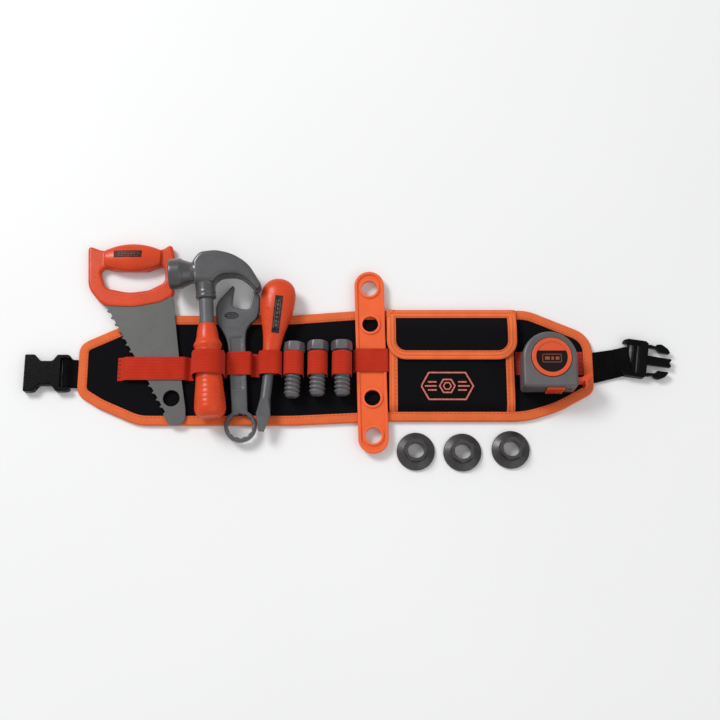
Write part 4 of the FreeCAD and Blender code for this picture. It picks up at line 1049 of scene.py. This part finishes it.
def strap_dressed(piece, node, flat):
    """The strap's root stays under the binding; the strap gets its material, its CAD node is hidden and its transform
    is baked into its mesh. flat is not used.
    """
    piece.data.materials.append(BLACK_WEB)
    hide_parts(node)
    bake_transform(piece)
    return piece


def right_strap():
    """A strap that narrows from the panel to the plug, which lies at an angle."""
    low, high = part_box("right_webbing")
    run_z = low.z + WEBBING / 2
    arm_low, arm_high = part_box("plug_arm_upper")
    under_low, under_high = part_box("plug_arm_lower")
    turn = math.atan2(
        (under_low.x + under_high.x - arm_low.x - arm_high.x) * -1, arm_low.y + arm_high.y - under_low.y - under_high.y
    )
    ahead = Vector((math.cos(turn), math.sin(turn), 0))
    side = Vector((-math.sin(turn), math.cos(turn), 0))
    bar = Vector((282.5 * MM, -5.6 * MM, 0))
    root = Vector((238.5 * MM, -14.2 * MM, 0))
    local = resampled(filleted(strap_line(0, run_z, root.x - bar.x, 1)), 1.0 * MM)
    stations = []
    for here, _, up in upright_stations(local, ACROSS):
        share = min(1, max(0, 1 - here.x / (root.x - bar.x)))
        at = bar + ahead * here.x
        at.y = root.y + (bar.y - root.y) * share
        width = (33.0 * (1 - share) + 28.0 * share) / 29.0
        across = (side * share + ACROSS * (1 - share)).normalized() * width
        tilted = ahead * up.x + UP * up.z
        stations.append((Vector((at.x, at.y, here.z)), across, tilted.normalized()))
    profile = strap_profile(WEBBING_WIDTH, WEBBING * 0.94, 14, 0.16 * MM)
    piece = sweep("right_strap_web", stations, profile)
    length = length_of([place for place, _, _ in stations])
    return strap_dressed(piece, "right_webbing", (30.0 * MM, length))


# ---- tools ----


def tools():
    """Moulded pieces with blended corners stand for the organic CAD shapes; the rest are repainted."""
    head = remeshed("hammer_head_cast", "hammer_head", 0.7 * MM, 7)
    dressed(head, "hammer", "grey_plastic", HEAD, "hammer_head")
    handle = remeshed("saw_handle_moulded", "saw_handle", 0.8 * MM, 4)
    dressed(handle, "saw", "orange_plastic", ORANGE, "saw_handle")
    grip = remeshed("hammer_grip_moulded", "hammer_grip", 0.8 * MM, 2)
    groove_grip(grip)
    dressed(grip, "hammer", "orange_plastic", ORANGE, "hammer_grip")
    body = remeshed("wrench_cast", "wrench", 0.55 * MM, 3)
    dressed(body, "wrench", "grey_plastic", WRENCH, "wrench")
    painted(ORANGE, "screwdriver_handle", "tape_lock", "tape_hook", "tape_reel")
    painted(SPRUNG_ORANGE, "perforated_strip")
    painted(BLADE, "saw_blade")
    painted(WRENCH, "hammer_shaft", "screwdriver_shaft")
    painted(NUTS, "nut_1", "nut_2", "nut_3")
    painted(CASE, "tape_case_front", "tape_case_back", "tape_clip", "tape_axle")
    painted(DIAL, "tape_ring")
    painted(sticker_marks("saw_sticker", "saw_label", STICKER, STICKER_INK), "saw_label")
    painted(sticker_marks("driver_sticker", "screwdriver_label", STICKER, DRIVER_INK), "screwdriver_label")
    painted(SCREW, "tape_screws", "tape_clip_screw", "tape_spring")
    painted(FILM, "tape_coil", "tape_blade")
    painted(BUCKLE, "socket_buckle", "plug_buckle", "plug_arm_upper", "plug_arm_lower")
    painted(CLOTH, "pocket_loop_patch", "flap_hook_patch")


def groove_grip(grip):
    """Shallow rings pressed into the hammer's grip, a group near its butt."""
    centre, ahead = axis_of("hammer_shaft", ACROSS)
    points = coordinates(grip.data)
    spokes = points - np.array(centre)
    along = spokes @ np.array(ahead)
    radial = spokes - np.outer(along, np.array(ahead))
    reach = np.linalg.norm(radial, axis=1)
    butt = along.min()
    outer = reach > 8.2 * MM
    depth = np.zeros(len(points))
    for ring in (12, 17, 22, 27, 32, 37, 42):
        depth += 0.22 * MM * np.exp(-(((along - butt - ring * MM) / (0.8 * MM)) ** 2))
    share = np.where(outer & (along - butt > 4 * MM), depth / np.maximum(reach, MM), 0)
    set_coordinates(grip.data, points - radial * share[:, None])


def sticker_marks(name, node, ground, mark):
    """The marks of a sticker that is a CAD node, set out along its longer side."""
    low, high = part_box(node)
    middle = (low + high) / 2
    points = coordinates(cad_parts[node].data)[:, :2]
    direction = np.linalg.svd(points - points.mean(0), full_matrices=False)[2][0]
    spans = (points - points.mean(0)) @ np.array([direction, [-direction[1], direction[0]]]).T
    half_length, half_width = (float(h) for h in np.abs(spans).max(0))
    return plain_marks(name, middle, direction, half_length, half_width, ground, mark)


def plain_marks(name, middle, direction, half_length, half_width, ground, mark):
    """A dark ground with a plain row of dashes between two lines."""
    shader = Shader(name)
    place = shader.node("ShaderNodeVectorMath", {0: shader.coordinates.outputs["Object"], 1: middle})
    place.operation = "SUBTRACT"
    spans = []
    for axis in ((direction[0], direction[1], 0), (-direction[1], direction[0], 0)):
        reach = shader.node("ShaderNodeVectorMath", {0: place.outputs[0], 1: axis}, operation="DOT_PRODUCT")
        spans.append(reach.outputs["Value"])
    u, v = spans
    along = shader.calc("ABSOLUTE", u)
    aside = shader.calc("ABSOLUTE", v)
    dashes = shader.calc("GREATER_THAN", shader.wave(u, half_length * 0.22), -0.1)
    inside = shader.calc("LESS_THAN", along, half_length * 0.74)
    row = shader.calc("LESS_THAN", aside, half_width * 0.2)
    row = shader.calc("MULTIPLY", shader.calc("MULTIPLY", dashes, row), inside)
    off_line = shader.calc("ABSOLUTE", shader.calc("SUBTRACT", aside, half_width * 0.58))
    line = shader.calc("MULTIPLY", shader.calc("LESS_THAN", off_line, 0.22 * MM), inside)
    wearing = shader.spread(shader.noise(0.8 * MM), 0.3, 0.6, 0.3, 0.9)
    ink = shader.calc("MULTIPLY", shader.calc("MAXIMUM", row, line), wearing)
    smudge = shader.spread(shader.noise(4 * MM), 0.4, 0.65, 0.0, 0.25)
    tone = shader.blend(ink, shader.blend(smudge, ground, mark), mark)
    return shader.done(Base_Color=tone, Roughness=shader.spread(smudge, 0, 0.25, 0.4, 0.6), Specular_IOR_Level=0.15)


def tape_face():
    """The tape measure's sticker, and thin dark rings round its dial: painted shade where the grooves round the dial
    are.
    """
    ring_low, ring_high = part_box("tape_ring")
    low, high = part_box("tape_label")
    middle = (ring_low + ring_high) / 2
    outer = (ring_high.x - ring_low.x) / 2
    radius = (high.x - low.x) / 2 + 0.2 * MM
    top = 6.4 * MM
    start = math.asin(top / radius)
    arc = [math.pi - start + (math.pi + 2 * start) * i / 64 for i in range(65)]
    outline = [Vector((middle.x + radius * math.cos(a), middle.y + radius * math.sin(a), 0)) for a in arc]
    count = len(outline)
    vertices = [p + UP * z for z in (low.z, high.z) for p in outline]
    faces = [tuple(range(count)), tuple(range(count, 2 * count))]
    faces += [(i, (i + 1) % count, count + (i + 1) % count, count + i) for i in range(count)]
    sticker = mesh_piece("tape_sticker", vertices, faces)
    dressed(sticker, "tape_measure", "label_dark", LABEL, "tape_label")
    # Two thin dark rings, outside the dial and between the dial and the sticker: painted shade in the grooves round
    # the dial.
    vertices = []
    faces = []
    steps = 96
    for inner_r, outer_r, floor, ceiling in (
        (outer - 0.1 * MM, outer + 0.6 * MM, ring_low.z - 0.1 * MM, ring_low.z + 0.12 * MM),
        (radius, radius + 0.5 * MM, low.z - 0.1 * MM, low.z + 0.1 * MM),
    ):
        start = len(vertices)
        for i in range(steps):
            angle = 2 * math.pi * i / steps
            spoke = Vector((math.cos(angle), math.sin(angle), 0))
            centre = Vector((middle.x, middle.y, 0))
            for r, z in ((inner_r, floor), (outer_r, floor), (outer_r, ceiling), (inner_r, ceiling)):
                vertices.append(centre + spoke * r + UP * z)
        for i in range(steps):
            following = (i + 1) % steps
            for j in range(4):
                k = (j + 1) % 4
                a = start + 4 * i
                b = start + 4 * following
                faces.append((a + j, b + j, b + k, a + k))
    shade_rings = mesh_piece("dial_shade_rings", vertices, faces)
    dressed(shade_rings, "tape_measure", "label_dark", LABEL)
    vertices = []
    faces = []
    lift = high.z + 0.08 * MM
    for x, y, half_x, half_y in (
        (0, 2.6, 9.5, 0.3),
        (0, -5.4, 9.5, 0.3),
        (-9.2, -1.4, 0.3, 4.2),
        (9.2, -1.4, 0.3, 4.2),
        (-4.6, -1.4, 2.4, 1.6),
        (0.6, -1.4, 1.2, 1.6),
        (5.4, -1.4, 1.8, 1.6),
    ):
        start = len(vertices)
        for z in (high.z - 0.05 * MM, lift):
            for sx, sy in ((-1, -1), (1, -1), (1, 1), (-1, 1)):
                vertices.append(Vector((middle.x + (x + sx * half_x) * MM, middle.y + (y + sy * half_y) * MM, z)))
        faces += [tuple(start + i for i in face) for face in BOX_FACES]
    marks = mesh_piece("sticker_print", vertices, faces)
    dressed(marks, "tape_measure", "label_dark", printed("sticker_ink", STICKER_INK))


def wrench_mark():
    """A small dark oval pressed into the wrench's head."""
    low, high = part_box("wrench")
    middle = Vector((low.x + high.x, low.y + high.y, 2 * high.z)) / 2 + WRENCH_MARK
    vertices = []
    steps = 40
    for z in (-0.4 * MM, 0.07 * MM):
        for i in range(steps):
            angle = 2 * math.pi * i / steps
            vertices.append(middle + Vector((7.4 * MM * math.cos(angle), 3.9 * MM * math.sin(angle), z)))
    faces = [tuple(range(steps)), tuple(range(steps, 2 * steps))]
    faces += [(i, (i + 1) % steps, steps + (i + 1) % steps, steps + i) for i in range(steps)]
    oval = mesh_piece("wrench_oval", vertices, faces)
    pressed = plain_marks("wrench_print", middle, (1, 0), 7.4 * MM, 3.9 * MM, OVAL_DARK, WRENCH_GREY)
    dressed(oval, "wrench", "label_dark", pressed)


def end_centre(points):
    return Vector((points.min(0) + points.max(0)) / 2)


def bolt(number):
    """A hexagon head and a real helical thread."""
    node = f"bolt_{number}"
    low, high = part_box(node)
    points = coordinates(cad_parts[node].data)
    tip = end_centre(points[points[:, 1] < low.y + 2 * MM])
    top = end_centre(points[points[:, 1] > high.y - 2 * MM])
    tip.z = top.z = (low.z + high.z) / 2
    ahead = (top - tip).normalized()
    side = Vector((ahead.y, -ahead.x, 0))
    length = high.y - low.y
    tip = top - ahead * length
    head = 9.5 * MM
    crest = 8.0 * MM
    root = 6.5 * MM
    pitch = 4.4 * MM
    sides = 48
    rows = int((length - head) / (0.4 * MM))
    vertices = []
    faces = []

    def put(radius, distance, angle):
        spoke = side * math.cos(angle) + UP * math.sin(angle)
        vertices.append(tip + ahead * distance + spoke * radius)

    for i in range(rows + 1):
        distance = (length - head) * i / rows
        fade = min(1, distance / (3.5 * MM)) * min(1, (length - head - distance) / (2 * MM) + 0.2)
        for j in range(sides):
            angle = 2 * math.pi * j / sides
            phase = (distance / pitch - j / sides) % 1
            ridge = min(1, max(0, 1.6 - 3.6 * abs(phase - 0.5)))
            put(root - (1 - min(1, distance / (1.5 * MM))) * 1.2 * MM + (crest - root) * ridge * fade, distance, angle)
    for i in range(rows):
        for j in range(sides):
            k = (j + 1) % sides
            faces.append((i * sides + j, i * sides + k, (i + 1) * sides + k, (i + 1) * sides + j))
    faces.append(tuple(range(sides)))
    faces.append(tuple(range(rows * sides, (rows + 1) * sides)))
    flat = 9.4 * MM
    start = len(vertices)
    levels = [(-0.2, 0.5), (0.0, 1.0), (0.6, 1.0), (6.8, 1.0), (9.2, 1.0), (9.5, 1.0)]
    for level, scale in levels:
        for j in range(sides):
            angle = 2 * math.pi * j / sides
            bent = (angle + math.pi / 6 + math.pi / 6) % (math.pi / 3) - math.pi / 6
            radius = flat / math.cos(bent)
            ceiling = flat + (head - level * MM) * 1.1 + 0.3 * MM
            radius = min(radius, ceiling) * scale
            put(radius - 0.25 * MM * (level in (0.0, 9.5)), length - head + level * MM, angle)
    for i in range(len(levels) - 1):
        for j in range(sides):
            k = (j + 1) % sides
            a = start + i * sides
            faces.append((a + j, a + k, a + sides + k, a + sides + j))
    faces.append(tuple(range(start, start + sides)))
    faces.append(tuple(range(len(vertices) - sides, len(vertices))))
    piece = mesh_piece(f"bolt_{number}_threaded", vertices, faces)
    dressed(piece, node, "grey_plastic", BOLTS, node)


# ---- stage ----


def stage():
    """A pale floor and soft studio light."""
    bpy.ops.mesh.primitive_plane_add(size=8, location=(0, 0, CAD_LOW.z - 0.05 * MM))
    floor = bpy.context.object
    floor.name = "floor"
    shader = Shader("pale_floor")
    cloud = shader.noise(0.5, 2)
    tone = shader.blend(cloud, (0.755, 0.76, 0.765, 1), (0.81, 0.81, 0.81, 1))
    floor.data.materials.append(shader.done(Base_Color=tone, Roughness=0.7, Specular_IOR_Level=0.2))
    world = bpy.data.worlds.new("studio")
    world.use_nodes = True
    world.node_tree.nodes["Background"].inputs["Color"].default_value = (1, 1, 1, 1)
    world.node_tree.nodes["Background"].inputs["Strength"].default_value = WORLD_LIGHT
    bpy.context.scene.world = world
    area_light("key", (-1.6, 1.4, 2.2), 1.0, KEY_LIGHT)
    area_light("fill", (0.9, -0.9, 1.6), 1.6, FILL_LIGHT)


def area_light(name, place, size, power):
    data = bpy.data.lights.new(name, "AREA")
    data.size = size
    data.energy = power
    light = bpy.data.objects.new(name, data)
    light.location = place
    light.rotation_euler = (-Vector(place)).to_track_quat("-Z", "Y").to_euler()
    bpy.context.scene.collection.objects.link(light)


def camera():
    middle = (CAD_LOW + CAD_HIGH) / 2
    aim = Vector((middle.x, middle.y, CAD_LOW.z)) + CAMERA_AIM
    back = Vector((0, -math.cos(CAMERA_ELEVATION), math.sin(CAMERA_ELEVATION)))
    data = bpy.data.cameras.new("camera")
    data.lens = CAMERA_LENS
    data.clip_start = 0.05
    seen = bpy.data.objects.new("camera", data)
    seen.location = aim + back * CAMERA_DISTANCE
    seen.rotation_euler = (-back).to_track_quat("-Z", "Y").to_euler()
    bpy.context.scene.collection.objects.link(seen)
    bpy.context.scene.camera = seen


bpy.context.scene.view_settings.view_transform = "Standard"
camera()
stage()
panel()
binding()
elastic_loops()
sewn_ends()
pocket()
flap()
badge()
left_strap()
right_strap()
tools()
tape_face()
wrench_mark()
for bolt_number in (1, 2, 3):
    bolt(bolt_number)
